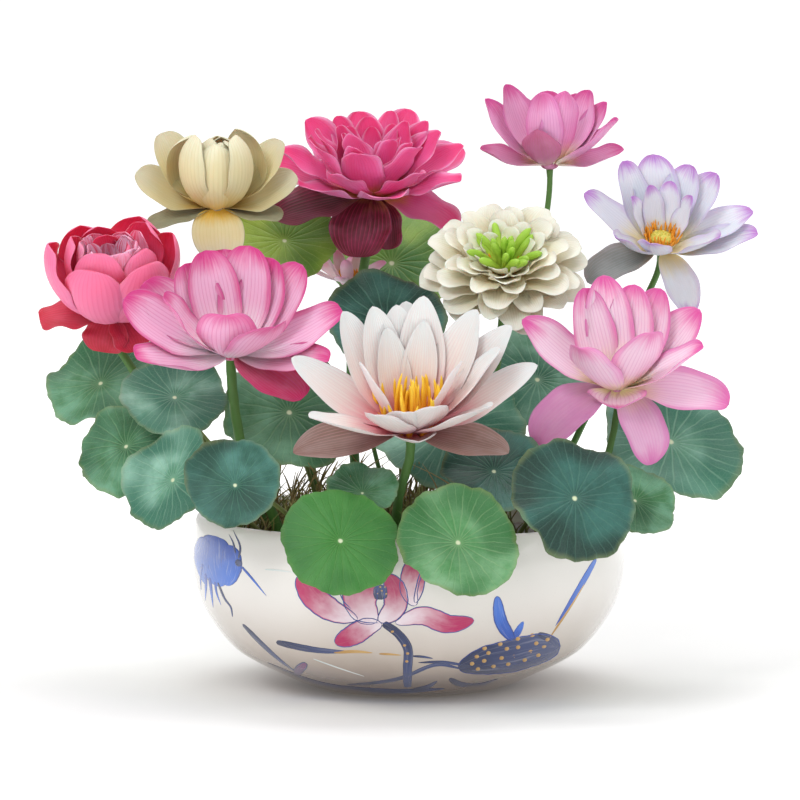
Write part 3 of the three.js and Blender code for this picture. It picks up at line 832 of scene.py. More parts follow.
@dataclass
class Flower:
    """A lotus flower: stem, receptacle, petals and what stands in its middle."""

    name: str
    base: tuple[float, float, float]
    lean: tuple[float, float]
    root: tuple[float, float]
    via: tuple[float, float, float]
    stem: float
    pod: tuple[float, float, float]
    outline: tuple[float, float]
    finish: PetalFinish
    petals: list
    face: float = 0.0
    centre: Centre = Centre.POD
    ripple: float = 1.0
    curl: float = 12.0
    stamens: int = 70
    reach: float = 15.0
    extra: list = field(default_factory=list)

    def dress(self, kit: "Materials") -> None:
        """Makes the flower's pieces with their materials."""
        self.build_stem(kit)
        self.build_petals(kit)
        if self.centre is Centre.POD:
            self.build_pod(kit)
            self.build_stamens(kit, self.stamens, self.reach, 0.42, 58, 84)
        elif self.centre is Centre.FINGERS:
            self.build_fingers(kit)
        elif self.centre is Centre.CARPELS:
            self.build_carpels(kit)
            self.build_stamens(kit, 46, 8.5, 0.6, 40, 60)

    @property
    def turn(self) -> np.ndarray:
        """Rotation from the flower's frame to the bowl's."""
        return turn_to(leaning(*self.lean))

    @property
    def rim(self) -> float:
        """Outer radius of the collar that the petals grow on."""
        return (self.stem + 0.5) / math.cos(math.pi / 8) + COLLAR_WIDTH

    def build_stem(self, kit: "Materials") -> None:
        """The stem, swelling into the collar and the receptacle's foot."""
        axis, foot = leaning(*self.lean), np.array(self.base, float)
        ground = mud_height(*self.root)
        points = np.array(
            [
                [*self.root, ground - ROOT_DEPTH],
                [*self.root, ground + 8],
                self.via,
                foot - 16 * axis,
                foot + 1.5 * axis,
            ],
            float,
        )
        line = curve_through(points, 64)
        s = np.linspace(0, 1, 64)
        radius = self.stem * (1.06 - 0.10 * s + 0.35 * smooth(0.965, 1.0, s))
        shell = Shell()
        uv = np.stack(np.broadcast_arrays(np.zeros((1, 14)), s[:, None]), -1)
        shell.add(tube_rings(line, radius, 14, 0.05), uv)
        knob = Shell()
        section = profile_through(
            [(0.1, -1.5), (self.stem * 1.2, -1.2), (self.rim - 1.6, 0.1), (self.rim - 0.5, 2.2),
             (self.rim - 1.4, 4.0), (0.1, 4.4)], 18
        )  # fmt: skip
        knob.add(turned(section, 28))
        knob.place(self.turn, self.base)
        shell.join(knob, 1)
        shell.make(
            f"{self.name}_stem", [kit.stem, kit.collar[self.name]], "stem", (f"stem_{self.name}",)
        )

    def build_petals(self, kit: "Materials") -> None:
        """All the petals, seeded so that no two are quite alike."""
        rng = np.random.default_rng(SEED + len(self.name) * 7 + int(abs(self.base[0])))
        shell = Shell()
        for row in [*self.petals, *self.extra]:
            blade = Petal(
                *row, broad=self.outline[0], sharp=self.outline[1], ripple=self.ripple,
                curl=self.curl, face=self.face, seed=float(rng.uniform()),
            )  # fmt: skip
            points, uv, tint = blade.lattice(self.rim - 2.4, COLLAR_HEIGHT * 0.5)
            shell.add(points, uv, tint)
        shell.place(self.turn, self.base)
        shell.make(
            f"{self.name}_petals", [kit.petal[self.name]], f"petals_{self.name}",
            (f"petals_{self.name}",),
        )  # fmt: skip

    def build_pod(self, kit: "Materials") -> None:
        """The seed receptacle: an upturned cone with carpels in its flat top."""
        low, high, tall = self.pod
        start = COLLAR_HEIGHT - 0.2
        section = profile_through(
            [(0.1, start), (low, start + 0.1), (high * 0.97, start + tall * 0.78),
             (high, start + tall * 0.92), (high * 0.86, start + tall), (0.1, start + tall * 1.01)], 22
        )  # fmt: skip
        shell = Shell()
        shell.add(turned(section, 32))
        k = np.arange(1, 15)
        r = high * 0.8 * np.sqrt(k / 14.5)
        a = GOLDEN * k
        spot = np.stack([r * np.cos(a), r * np.sin(a), np.full(14, start + tall)], -1)
        bead = turned(profile_through([(0.01, -0.4), (0.95, -0.2), (0.75, 0.6), (0.01, 0.9)], 7), 9)
        shell.add(spot[:, None, None] + bead[None] * high / 7.5, slot=1)
        shell.place(self.turn, self.base)
        shell.make(f"{self.name}_pod", [kit.pod, kit.bead], "stem")

    def filaments(self, count, inner, reach, thick, rise0, rise1, tip, seed, rows=9, sides=7):
        """Thin tapering rods set round the receptacle, all in one array.

        Each rod's rise goes from rise0 to rise1 with a random turn; its
        radius is thick at the claw and swells by tip at the end.
        """
        rng = np.random.default_rng(seed)
        golden = GOLDEN * np.arange(count) + rng.uniform(-0.2, 0.2, count)
        s = np.linspace(0, 1, rows)
        length = reach * rng.uniform(0.82, 1.12, (count, 1))
        rise = np.radians(rise0 + (rise1 - rise0) * s + rng.uniform(-12, 12, (count, 1)))
        step = length / (rows - 1)
        run = inner + rng.uniform(-0.8, 0.8, (count, 1)) + np.cumsum(np.cos(rise), 1) * step
        climb = COLLAR_HEIGHT - 0.5 + (np.cumsum(np.sin(rise), 1) - 1) * step
        swirl = golden[:, None] + rng.uniform(-0.35, 0.35, (count, 1)) * s
        line = np.stack([run * np.cos(swirl), run * np.sin(swirl), climb], -1)
        along = unit(np.gradient(line, axis=1))
        out = np.stack([np.cos(golden), np.sin(golden), 0 * golden], -1)[:, None]
        b = unit(np.cross(along, out))
        n = np.cross(b, along)
        a = np.linspace(0, 2 * np.pi, sides, endpoint=False)
        radius = thick * (1 - 0.35 * s + tip * smooth(0.5, 0.62, s)) * np.sqrt(1 - 0.96 * s**12)
        ring = np.cos(a)[:, None] * n[..., None, :] + np.sin(a)[:, None] * b[..., None, :]
        points = line[:, :, None] + radius[None, :, None, None] * ring
        uv = np.stack(np.broadcast_arrays(a / (2 * np.pi), s[:, None]), -1)
        tint = np.zeros((count, rows, sides, 3))
        tint[..., 2] = rng.uniform(0, 1, (count, 1, 1))
        return points, uv, tint

    def build_stamens(self, kit, count, reach, thick, rise0, rise1) -> None:
        """A ring of white filaments with orange anthers."""
        shell = Shell()
        inner = self.pod[0] + 0.8
        points, uv, tint = self.filaments(count, inner, reach, thick, rise0, rise1, 0.75, 5)
        shell.add(points, uv, tint)
        shell.place(self.turn, self.base)
        shell.make(f"{self.name}_stamens", [kit.stamen], f"petals_{self.name}")

    def build_fingers(self, kit: "Materials") -> None:
        """Tall yellow finger-like stamens, bent in over the middle."""
        shell = Shell()
        for count, inner, reach, rise0, rise1, thick in (
            (19, 10.5, 34, 56, 92, 1.45),
            (16, 7.4, 37, 70, 98, 1.35),
            (12, 4.0, 33, 78, 100, 1.25),
        ):
            shell.add(*self.filaments(count, inner, reach, thick, rise0, rise1, 0.12, count, 12, 8))
        shell.place(self.turn, self.base)
        shell.make(f"{self.name}_stamens", [kit.finger], f"petals_{self.name}")

    def build_carpels(self, kit: "Materials") -> None:
        """Green finger-like carpels that spread from the middle."""
        shell = Shell()
        for count, inner, reach, rise0, rise1, thick, seed in (
            (11, 5.6, 27, 66, 34, 2.7, 3),
            (7, 2.6, 27, 82, 66, 2.5, 8),
        ):
            shell.add(*self.filaments(count, inner, reach, thick, rise0, rise1, 0.28, seed, 14, 12))
        shell.place(self.turn, self.base)
        shell.make(f"{self.name}_carpels", [kit.carpel], f"petals_{self.name}")


# Petal rows: azimuth, length, width, rise at claw, rise at tip, cup, guard tone (below zero, streaks of
# painted highlight).
FLOWERS = [
    Flower(
        "cream", (-133, 35, 326), (-90, 8), (-58, 36), (-98, 38, 215), 2.6, (4, 6, 9), (0.5, 0.42),
        PetalFinish("deb43a", "dfd19e", "dcd6bc", "cdc7a6", "ddd2ae", "85866a", "bfae72",
                    base_end=0.45, vein_share=0.25, edge_share=0.3),
        [
            *whorl(6, 30, 66, 46, 14, 142, 0.95), (176, 58, 38, 6, 48, 0.5, 0.35),
            (4, 56, 38, 4, 46, 0.5, 0.35), (155, 64, 36, 34, 72, 0.6, 0.2),
            (18, 62, 34, 32, 66, 0.6, 0.2), (85, 62, 38, 20, 60, 0.5),
            (-88, 38, 38, -34, -88, 0.45, 0.1), (200, 46, 26, -10, -14, 0.3, 1),
            (-16, 42, 26, -5, -6, 0.3, 1),
        ],
        face=30,
        centre=Centre.HIDDEN, ripple=0.7,
        extra=whorl(5, 0, 58, 40, 32, 148, 0.95),
    ),
    Flower(
        "magenta", (-26, 85, 334), (-88, 18), (-36, 62), (-40, 72, 225), 3.4, (4, 6, 8), (0.6, 0.5),
        PetalFinish("fbc257", "f06fae", "e43a7e", "f4a9d2", "df7dba", "58081f", "d6346f",
                    base_end=0.42, tip_start=0.5, back_share=0.4, vein_share=0.3,
                    edge_share=0.75, glow=0.3),
        [
            *whorl(5, 20, 54, 28, 54, 88, 0.6), *whorl(7, 0, 64, 34, 38, 62, 0.6),
            *whorl(7, 22, 68, 36, 12, 30, 0.5), (196, 66, 48, -6, -14, 0.4, 1),
            (-106, 46, 46, -34, -76, 0.4, 1), (-62, 40, 26, -40, -78, 0.35, 1),
            (-24, 62, 38, -5, -26, 0.5, 0.35), (65, 60, 36, -2, -16, 0.5, 0.8),
        ],
        face=22,
        ripple=2.3, stamens=46, reach=27,
        extra=[*whorl(7, 38, 48, 20, 58, 88, 0.7), *whorl(6, 14, 60, 24, 44, 70, 0.7),
               *whorl(6, 5, 68, 27, 22, 44, 0.6)],
    ),
    Flower(
        "pink_cup", (100, 95, 354), (-90, 3), (42, 74), (84, 90, 250), 2.1, (4, 5.5, 8), (0.6, 0.55),
        PetalFinish("f7ecc0", "e8a9d0", "c9418f", "d1559f", "e095c2", "a4526f", "c0609d",
                    base_end=0.4, tip_start=0.7, vein_share=0.4, edge_share=0.7),
        [
            (176, 64, 33, 25, 76, 0.6), (156, 64, 33, 45, 86, 0.6), (-112, 56, 31, 55, 94, 0.7),
            (-58, 56, 36, 58, 97, 0.7), (22, 60, 33, 42, 86, 0.6), (4, 58, 30, 32, 74, 0.6),
            (-22, 58, 34, 16, 60, 0.7), (-8, 50, 30, -4, 34, 0.6, 0.1),
            (187, 48, 30, -2, 36, 0.6, 0.35), (-114, 38, 34, 5, 104, 0.9, 0.8),
            (92, 60, 37, 38, 82, 0.6), (55, 60, 35, 36, 78, 0.6), (128, 60, 35, 36, 78, 0.6),
        ],
        face=25,
        stamens=40,
    ),
    Flower(
        "lavender", (176.5, 60, 297), (-86, 33), (92, 38), (140, 60, 210), 2.3, (4.5, 8, 9),
        (0.6, 0.5),
        PetalFinish("eedca2", "dbdde6", "b274c6", "bc98d2", "c3c8da", "7f8682", "b4b8d0",
                    base_end=0.5, tip_start=0.78, edge_share=0.5, vein_share=0.2),
        [
            (160, 62, 31, 14, 44, 0.6), (135, 64, 30, 38, 68, 0.6), (95, 64, 36, 38, 62, 0.6),
            (68, 60, 30, 36, 64, 0.6), (46, 63, 32, 28, 58, 0.6), (15, 66, 34, 8, 40, 0.6),
            (-8, 66, 36, 4, 36, 0.6), (-38, 52, 30, 20, 56, 0.7), (-143, 48, 30, 14, 60, 0.7),
            (-106, 36, 28, 16, 76, 0.8), (112, 44, 18, 54, 84, 0.6), (76, 46, 20, 50, 80, 0.6),
            (28, 42, 18, 50, 80, 0.6), (158, 43, 18, 50, 80, 0.6), (-156, 54, 36, -6, -22, 0.4, 1),
            (-64, 50, 27, -14, -48, 0.5, 0.35),
        ],
        face=0,
        stamens=80, reach=15,
    ),
    Flower(
        "red", (-203, 5, 253), (-90, 24), (-96, 4), (-160, 4, 178), 3.0, (4, 6, 8), (0.42, 0.3),
        PetalFinish("fbcbe8", "f4628f", "ea3a66", "e5305c", "fb80aa", "a81f2c", "e8456f",
                    base_end=0.15, tip_start=0.5, back_share=0.8, edge_share=0.6, glow=0.35),
        [
            *whorl(6, 10, 78, 54, 8, 106, 0.9), *whorl(5, 40, 72, 44, 28, 112, 0.85),
            *whorl(3, 0, 58, 28, 62, 104, 0.6), (188, 46, 34, 4, -6, 0.4, 0.8),
            (-108, 24, 34, -34, -60, 0.4, 0.9), (-56, 28, 30, -18, -44, 0.4, 0.8),
            (70, 42, 34, 2, -10, 0.4, 0.8),
        ],
        face=10,
        centre=Centre.HIDDEN, ripple=2.2,
        # Negative tones lay streaks of the pale Base colour on the crumpled inner petals as painted
        # highlights.
        extra=[*whorl(7, 25, 62, 28, 48, 100, 0.8, -0.6), *whorl(7, 12, 58, 24, 58, 98, 0.8, -1),
               *whorl(6, 40, 54, 20, 66, 94, 0.8, -1)],
    ),
    Flower(
        "pink_left", (-120, -62, 232), (-90, 20), (-88, -42), (-113, -56, 170), 3.5,
        (4.5, 7.5, 10), (0.55, 0.42),
        PetalFinish("f8eef2", "efbcd8", "d23888", "cf3284", "e7a2c8", "c82a60", "cf62a2",
                    base_end=0.55, tip_start=0.72, edge_share=0.85, vein_share=0.45),
        [
            (178, 78, 42, 14, 52, 0.6), (146, 66, 38, 44, 82, 0.6), (119, 70, 38, 56, 86, 0.6),
            (62, 72, 40, 56, 84, 0.6), (20, 74, 38, 36, 70, 0.6), (-6, 78, 38, 8, 46, 0.6),
            (-30, 74, 38, -4, 28, 0.6, 0.2), (-142, 72, 46, -4, 34, 0.6),
            (-40, 58, 42, -14, -16, 0.45, 0.9), (-96, 58, 46, 28, 84, 0.75),
            (-60, 66, 42, 22, 60, 0.6), (-160, 66, 38, 34, 70, 0.6), (40, 68, 38, 46, 80, 0.6),
            (92, 70, 40, 42, 76, 0.6), (156, 72, 40, 22, 56, 0.6),
        ],
        face=30,
    ),
    Flower(
        "white_double", (66, 0, 287), (-92, 42), (36, 4), (58, 12, 200), 2.8, (5, 9, 9),
        (0.5, 0.42),
        # The strong yellow Base reaching far up the petals is partly their own yellow and partly painted
        # shade between the petals.
        PetalFinish("cfb04c", "e8e0c2", "ebe9de", "e6e4d8", "dedac8", "939a90", "cdc5a0",
                    base_end=0.62, vein_share=0.35, edge_share=0.2, glow=0.3),
        [
            *whorl(6, 10, 25, 17, 38, 66, 0.6), *whorl(6, 30, 38, 24, 26, 44, 0.6),
            *whorl(7, 5, 49, 28, 8, 24, 0.5), *whorl(7, 27, 53, 32, -12, 0, 0.45, 0.12),
        ],
        face=0,
        centre=Centre.CARPELS, ripple=1.7,
        extra=[*whorl(9, 20, 31, 17, 30, 52, 0.6), *whorl(9, 0, 43, 21, 18, 34, 0.6),
               *whorl(9, 14, 49, 24, 0, 14, 0.5), *whorl(8, 4, 52, 27, -6, 6, 0.45)],
    ),
    Flower(
        "lily", (0.6, -118, 185.4), (-90, 18), (-9, -98), (-7, -108, 140), 3.2, (4.5, 6.5, 7),
        (0.6, 0.62),
        PetalFinish("ea8496", "ecdcd6", "dde3e2", "dfe3e5", "e8d2d6", "86695e", "dcabb6",
                    base_end=0.6, tip_start=0.45, vein_share=0.3, edge_share=0.3),
        [
            (174, 88, 34, 22, 46, 0.55), (-140, 84, 34, 12, 34, 0.55), (156, 88, 33, 48, 72, 0.55),
            (132, 84, 32, 58, 80, 0.55), (108, 82, 33, 60, 82, 0.55), (66, 88, 35, 62, 84, 0.55),
            (26, 90, 35, 52, 74, 0.55), (7, 96, 36, 40, 62, 0.55), (-14, 84, 33, 40, 60, 0.55),
            (-4, 92, 34, 20, 44, 0.55), (-46, 78, 34, 20, 42, 0.55), (-116, 62, 35, 20, 48, 0.6),
            (-92, 52, 35, 26, 54, 0.6), (-70, 58, 35, 28, 54, 0.6), (88, 86, 34, 46, 66, 0.55),
            (124, 68, 25, 62, 82, 0.6), (70, 72, 26, 64, 84, 0.6), (-150, 66, 26, 50, 72, 0.6),
            (-30, 66, 26, 50, 72, 0.6), (-82, 32, 32, -5, 34, 0.7, 0.15),
            (-168, 74, 38, -4, -8, 0.4, 1), (-27, 66, 38, -2, -2, 0.4, 1),
            (82, 72, 34, 2, -4, 0.4, 1),
        ],
        face=27,
        centre=Centre.FINGERS, ripple=0.6, curl=6,
    ),
    Flower(
        "pink_right", (140.6, -62, 208.5), (-90, 14), (98, -36), (130, -55, 152), 2.4,
        (4.5, 6.5, 9), (0.58, 0.52),
        PetalFinish("f5e9b4", "f3d3e3", "d84f9f", "dc62aa", "ecbcd8", "cb82b4", "d283b8",
                    base_end=0.42, tip_start=0.7, edge_share=0.85, vein_share=0.4),
        [
            (172, 76, 38, 26, 52, 0.6), (146, 70, 36, 56, 84, 0.6), (103, 76, 36, 61, 89, 0.6),
            (62, 70, 36, 58, 86, 0.6), (16, 74, 38, 32, 60, 0.6), (-22, 66, 38, 22, 48, 0.6),
            (-6, 72, 42, 2, -14, 0.45, 0.3), (-158, 66, 46, -12, -50, 0.4, 0.9),
            (-52, 56, 38, -36, -72, 0.4, 0.6), (-126, 64, 42, 24, 66, 0.7),
            (-64, 68, 40, 38, 70, 0.6), (-94, 26, 44, -22, 8, 0.7), (38, 72, 36, 48, 78, 0.6),
        ],
        face=30,
        stamens=50,
    ),
    Flower(
        "small", (-43, 105, 271), (-90, 12), (-14, 88), (-36, 100, 200), 1.6, (2.5, 3.5, 4),
        (0.6, 0.5),
        PetalFinish("f3cf9c", "f6dde8", "e98fbd", "efb3d2", "f3cfe0", "d9a0bd", "efc4da",
                    base_end=0.25),
        [
            *whorl(6, 20, 27, 13, 12, 38, 0.5), *whorl(5, 52, 24, 10, 46, 74, 0.5),
        ],
        face=10,
        stamens=26, reach=8, ripple=0.4,
    ),
]  # fmt: skip


# ------------------------------------------------------------------- leaves
class Tone(Enum):
    """The record's leaf slots."""

    GREEN = "leaf_green"
    BLUE = "leaf_blue"
    LIGHT = "leaf_light"


def mud_height(x: float, y: float) -> float:
    """Height of the mud: highest in the middle, falling with the radius squared."""
    part = math.hypot(x, y) / MUD_RADIUS
    return MUD_TOP + (MUD_EDGE[1] - MUD_TOP) * part * part


@dataclass
class Leaf:
    """A round lotus leaf on its stalk, which meets the middle of its underside."""

    name: str
    tone: Tone
    centre: tuple[float, float, float]
    radius: float
    lean: tuple[float, float]
    dish: float
    ruffle: float
    waves: int
    root: tuple[float, float]
    over: tuple[float, float, float]
    rings: int = 26
    spokes: int = 96

    def lattice(self, seed: float):
        """The closed blade, as rings from the underside's middle over the rim.

        Height is dish * rho^2 + waves round the rim that grow with rho^3 +
        a small funnel in the middle - shallow channels along the veins.
        """
        k = np.arange(2 * self.rings + 1)
        out = 1 - np.abs(k / self.rings - 1)
        rho = np.sin(out * np.pi / 2)[:, None]
        side = np.where(k < self.rings, -1.0, 1.0)[:, None]
        side[self.rings] = 0
        a = np.linspace(0, 2 * np.pi, self.spokes, endpoint=False)[None]
        uneven = 0.05 * np.sin(2 * a + self.waves) + 0.03 * np.sin(3 * a + self.radius)
        small = 0.018 * np.sin(7 * a + 9 * seed) + 0.012 * np.sin(13 * a + 7 * seed)
        small = small + 0.008 * np.sin(29 * a + 5 * seed)
        torn = np.cos((a - 6.28 * seed) / 2) ** 120 + 0.7 * np.cos((a - 9.1 * seed - 2) / 2) ** 240
        reach = self.radius * (1 + uneven) * (1 + (small - 0.09 * torn * (1 - self.dish * 2)) * rho**6)
        fold = np.sin(self.waves * a + self.radius)
        fold = fold + 0.45 * np.sin((self.waves + 2) * a + self.waves)
        wave = 0.75 * self.ruffle * rho**3 * fold
        frill = 0.2 * self.ruffle * rho**7 * np.sin((2 * self.waves + 3) * a + 4 * seed)
        frill = frill + 0.5 * rho**9 * np.sin(23 * a + 6 * seed)
        vein = -0.35 * np.cos(10.5 * a) ** 16 * smooth(0.03, 0.2, rho) * smooth(1.02, 0.75, rho)
        funnel = -0.05 * self.radius * np.exp(-((rho / 0.16) ** 2))
        fat = 0.32 * side * (1 - 0.6 * rho**4)
        height = self.dish * self.radius * rho**2 + wave + frill + vein + funnel + fat
        x, y = rho * np.cos(a), rho * np.sin(a)
        points = np.stack([reach * x, reach * y, height], -1)
        uv = np.stack([0.5 + 0.5 * x, 0.5 + 0.5 * y], -1)
        top = np.broadcast_to(0.5 + 0.5 * side, x.shape)
        tint = np.stack([0 * x, top, np.full(x.shape, seed)], -1)
        return points, uv, tint

    def dress(self, kit: "Materials", seed: float) -> None:
        """Makes the blade and the stalk."""
        shell = Shell()
        shell.add(*self.lattice(seed))
        shell.place(turn_to(leaning(*self.lean)), self.centre)
        made = kit.leaf[self.name if self.name in kit.leaf else self.tone.value]
        shell.make(f"{self.name}_leaf", [made], self.tone.value, (f"leaf_{self.name}",))
        normal, middle = leaning(*self.lean), np.array(self.centre, float)
        ground = mud_height(*self.root)
        points = np.array(
            [[*self.root, ground - ROOT_DEPTH], [*self.root, ground + 8], self.over,
             middle - normal * (0.05 * self.radius + 1.0)], float,
        )  # fmt: skip
        line = curve_through(points, 48)
        s = np.linspace(0, 1, 48)
        stalk = Shell()
        uv = np.stack(np.broadcast_arrays(np.zeros((1, 12)), s[:, None]), -1)
        stalk.add(tube_rings(line, 1.75 - 0.5 * s, 12, 0.06), uv)
        stalk.make(f"{self.name}_stalk", [kit.stalk], "stalk", (f"stalk_{self.name}",))


G, B, T = Tone.GREEN, Tone.BLUE, Tone.LIGHT
LEAVES = [
    Leaf("front_left", G, (-45, -168, 120), 39, (-92, 57), -0.06, 1.8, 3, (-34, -106), (-41, -146, 132)),
    Leaf("front_middle", G, (32, -168, 119), 41, (-86, 52), 0.06, 4.6, 4, (26, -106), (31, -147, 131)),
    Leaf("front_right", B, (109, -150, 146), 43, (-80, 58), -0.04, 4.2, 4, (72, -84), (94, -118, 142)),
    Leaf("left_cupped", B, (-115, -138, 153), 32, (-104, 66), 0.2, 2.6, 3, (-66, -84), (-96, -112, 142)),
    Leaf("left_blue", T, (-159, -95, 152), 38, (-132, 66), 0.1, 4, 3, (-98, -60), (-134, -78, 140)),
    Leaf("left_low", G, (-193, -45, 170), 38, (-122, 50), -0.05, 4.5, 4, (-112, -32), (-158, -42, 146)),
    Leaf("left_high", G, (-216, 42, 206), 40, (-116, 46), 0.05, 5, 4, (-112, 30), (-166, 38, 160)),
    Leaf("left_middle", T, (-159, -50, 204), 36, (-92, 44), 0.05, 4, 3, (-116, -8), (-134, -20, 160)),
    Leaf("centre_left", G, (-82, -17, 191), 47, (-88, 50), 0.03, 5, 4, (-60, 6), (-70, -2, 150)),
    Leaf("left_back", T, (-184, 82, 232), 36, (-100, 34), 0.05, 3.4, 4, (-94, 66), (-150, 84, 170)),
    Leaf("centre", T, (28, -30, 182), 54, (-92, 50), 0.05, 5, 4, (4, 12), (14, 2, 140)),
    Leaf("centre_small", G, (-31, -128, 147), 25, (-96, 36), 0.12, 2.6, 4, (-42, -80), (-36, -104, 134)),
    # centre_dark lies in shade behind the front leaves; the darker bluish leaf_blue colour it is given
    # is partly painted shade.
    Leaf("centre_dark", B, (57, -93, 158), 36, (-84, 42), 0.08, 4.6, 4, (50, -54), (56, -72, 136)),
    Leaf("right_large", T, (180, -27, 172), 52, (-70, 46), 0.05, 5.4, 4, (110, 2), (146, -10, 150)),
    Leaf("right_low", G, (152, -92, 138), 30, (-60, 44), 0.08, 3, 4, (98, -66), (124, -78, 130)),
    Leaf("back_right", T, (90, 38, 209), 44, (-88, 46), 0.08, 4.4, 4, (66, 44), (74, 50, 160)),
    Leaf("back_yellow", T, (-88, 95, 303), 38, (-90, 50), 0.08, 3.6, 3, (-62, 78), (-82, 108, 220)),
    Leaf("back_tall", T, (-12, 139, 285), 50, (-90, 48), 0.04, 4.6, 4, (12, 100), (2, 132, 210)),
    Leaf("back_teal", B, (-16, 50, 247), 44, (-90, 46), 0.05, 4.6, 4, (-4, 56), (-8, 62, 180)),
]  # fmt: skip


# ---------------------------------------------------------- bowl and its mud
BOWL_LINE = profile_through([*BOWL_OUTER, BOWL_LIP, *BOWL_INNER], 300)
BOWL_LINE[:, 1] = np.maximum(BOWL_LINE[:, 1], 0)
BOWL_FACE = BOWL_LINE[: int(BOWL_LINE[:, 1].argmax()) + 1]


def lumps(x: np.ndarray, y: np.ndarray, size: float, seed: int, octaves: int = 4) -> np.ndarray:
    """Smooth unevenness between about -1 and 1.

    Each octave is the product of two sines whose phases are bent by the
    other axis; the next octave is twice as fine and half as strong.

    Args:
        x: positions in millimetres.
        y: positions in millimetres.
        size: length of the coarsest lumps.
        seed: picks the directions and the phases.
        octaves: how many octaves are added.
    """
    rng = np.random.default_rng(seed)
    total, scale, share = 0.0 * x, 2 * np.pi / size, 1.0
    for _ in range(octaves):
        a, p, q = rng.uniform(0, 2 * np.pi, 3)
        u, v = x * math.cos(a) - y * math.sin(a), x * math.sin(a) + y * math.cos(a)
        total = total + share * np.sin(scale * u + p + np.sin(scale * v * 0.7)) * np.sin(
            scale * v + q + np.sin(scale * u * 0.6 + q)
        )
        scale, share = scale * 2.05, share * 0.5
    return total


def build_bowl(kit: "Materials") -> None:
    """The bowl: its section turned once round, with a rounded lip and a flat base."""
    shell = Shell()
    shell.add(turned(BOWL_LINE, 176))
    shell.make("bowl_body", [kit.glaze], "glaze", ("bowl",))


def build_mud(kit: "Materials") -> None:
    """Wet mud: a low dome with clods and puddles, down to the bowl's wall."""
    rho = np.linspace(0.01, 1, 84)
    top = np.stack([MUD_EDGE[0] * rho, MUD_TOP + (MUD_EDGE[1] - MUD_TOP) * rho**2], -1)
    wall = np.array([(r - 0.6, z + 0.5) for r, z in BOWL_INNER if z < MUD_EDGE[1]], float)
    wall[-1, 0] = 0.5
    section = np.vstack([top, profile_through([tuple(top[-1]), *map(tuple, wall)], 40)[1:]])
    rings = turned(section, 144)
    x, y = rings[..., 0], rings[..., 1]
    free = smooth(1.0, 0.93, np.hypot(x, y) / MUD_EDGE[0])
    free[len(top) :] = 0
    rings[..., 2] += free * (1.5 * lumps(x, y, 34, 3, 5) + 0.8 * np.abs(lumps(x, y, 9, 4, 3)))
    shell = Shell()
    shell.add(rings)
    shell.make("mud_bed", [kit.mud], "mud", ("mud",))


def scattered(rng: np.random.Generator, count: int, edge: float) -> tuple:
    """Places spread over the mud, thicker left of the middle, inside a radius."""
    x, y = rng.normal(-34, 62, count * 4), rng.normal(4, 60, count * 4)
    keep = np.flatnonzero(np.hypot(x, y) < edge)[:count]
    x, y = x[keep], y[keep]
    part = np.hypot(x, y) / MUD_RADIUS
    return x, y, MUD_TOP + (MUD_EDGE[1] - MUD_TOP) * part**2


def build_grass(kit: "Materials") -> None:
    """Fine grass and old stalks between the stems, each blade a thin bent rod."""
    for name, count, tall, thick, made in (
        ("grass_fine", 620, (18, 58), (0.35, 0.75), kit.grass),
        ("grass_old", 210, (24, 84), (0.5, 1.2), kit.straw),
    ):
        rng = np.random.default_rng(SEED + count)
        x, y, z = scattered(rng, count, 128)
        count = len(x)
        s = np.linspace(0, 1, 9)[None]
        length, a = rng.uniform(*tall, (count, 1)), rng.uniform(0, 2 * np.pi, (count, 1))
        reach = length * rng.uniform(0.1, 0.6, (count, 1)) * s**2
        far = np.maximum(np.hypot(x, y), 1)[:, None]
        inward = smooth(80, 128, far) * length * 0.5 * s**1.5
        line = np.stack(
            [x[:, None] + reach * np.cos(a) - inward * x[:, None] / far,
             y[:, None] + reach * np.sin(a) - inward * y[:, None] / far,
             z[:, None] - 3 + length * s * (1 - 0.25 * s)], -1
        )  # fmt: skip
        around = np.linspace(0, 2 * np.pi, 5, endpoint=False)
        radius = rng.uniform(*thick, (count, 1)) * np.sqrt(1 - 0.94 * s**3)
        ring = np.stack([np.cos(around), np.sin(around) * 0.6, 0 * around], -1)
        points = line[:, :, None] + radius[:, :, None, None] * ring
        uv = np.stack(np.broadcast_arrays(around / (2 * np.pi), s[0][:, None]), -1)
        tint = np.zeros((*points.shape[:3], 3))
        tint[..., 2] = rng.uniform(0, 1, (count, 1, 1))
        shell = Shell()
        shell.add(points, uv, tint)
        shell.make(name, [made], "stalk")


def build_litter(kit: "Materials") -> None:
    """Scraps of withered leaf and clods lying on the mud."""
    rng = np.random.default_rng(SEED + 9)
    x, y, z = scattered(rng, 150, 130)
    count, u = len(x), np.linspace(0, 2 * np.pi, 12, endpoint=False)
    polar = np.linspace(0.02, np.pi - 0.02, 9)[:, None]
    ball = np.stack(
        [np.sin(polar) * np.cos(u), np.sin(polar) * np.sin(u), np.cos(polar) + 0 * u], -1
    )
    size = rng.uniform(1.2, 5.2, (count, 1, 1)) * np.array([1, 1, 0.25])[None, None]
    size = size * rng.uniform(0.6, 1.5, (count, 1, 3))
    bent = ball[None] * size[:, :, None]
    bent[..., 2] += 0.09 * bent[..., 0] ** 2 - 0.06 * bent[..., 1] ** 2
    bent = bent * (1 + 0.18 * np.sin(5 * bent + rng.uniform(0, 6, (count, 1, 1, 1))))
    a = rng.uniform(0, 2 * np.pi, (count, 1, 1))
    turnx = bent[..., 0] * np.cos(a) - bent[..., 1] * np.sin(a)
    turny = bent[..., 0] * np.sin(a) + bent[..., 1] * np.cos(a)
    points = np.stack([turnx, turny, bent[..., 2]], -1)
    points += np.stack([x, y, z + 1.6], -1)[:, None, None]
    shell = Shell()
    shell.add(points)
    shell.make("mud_litter", [kit.litter], "mud")


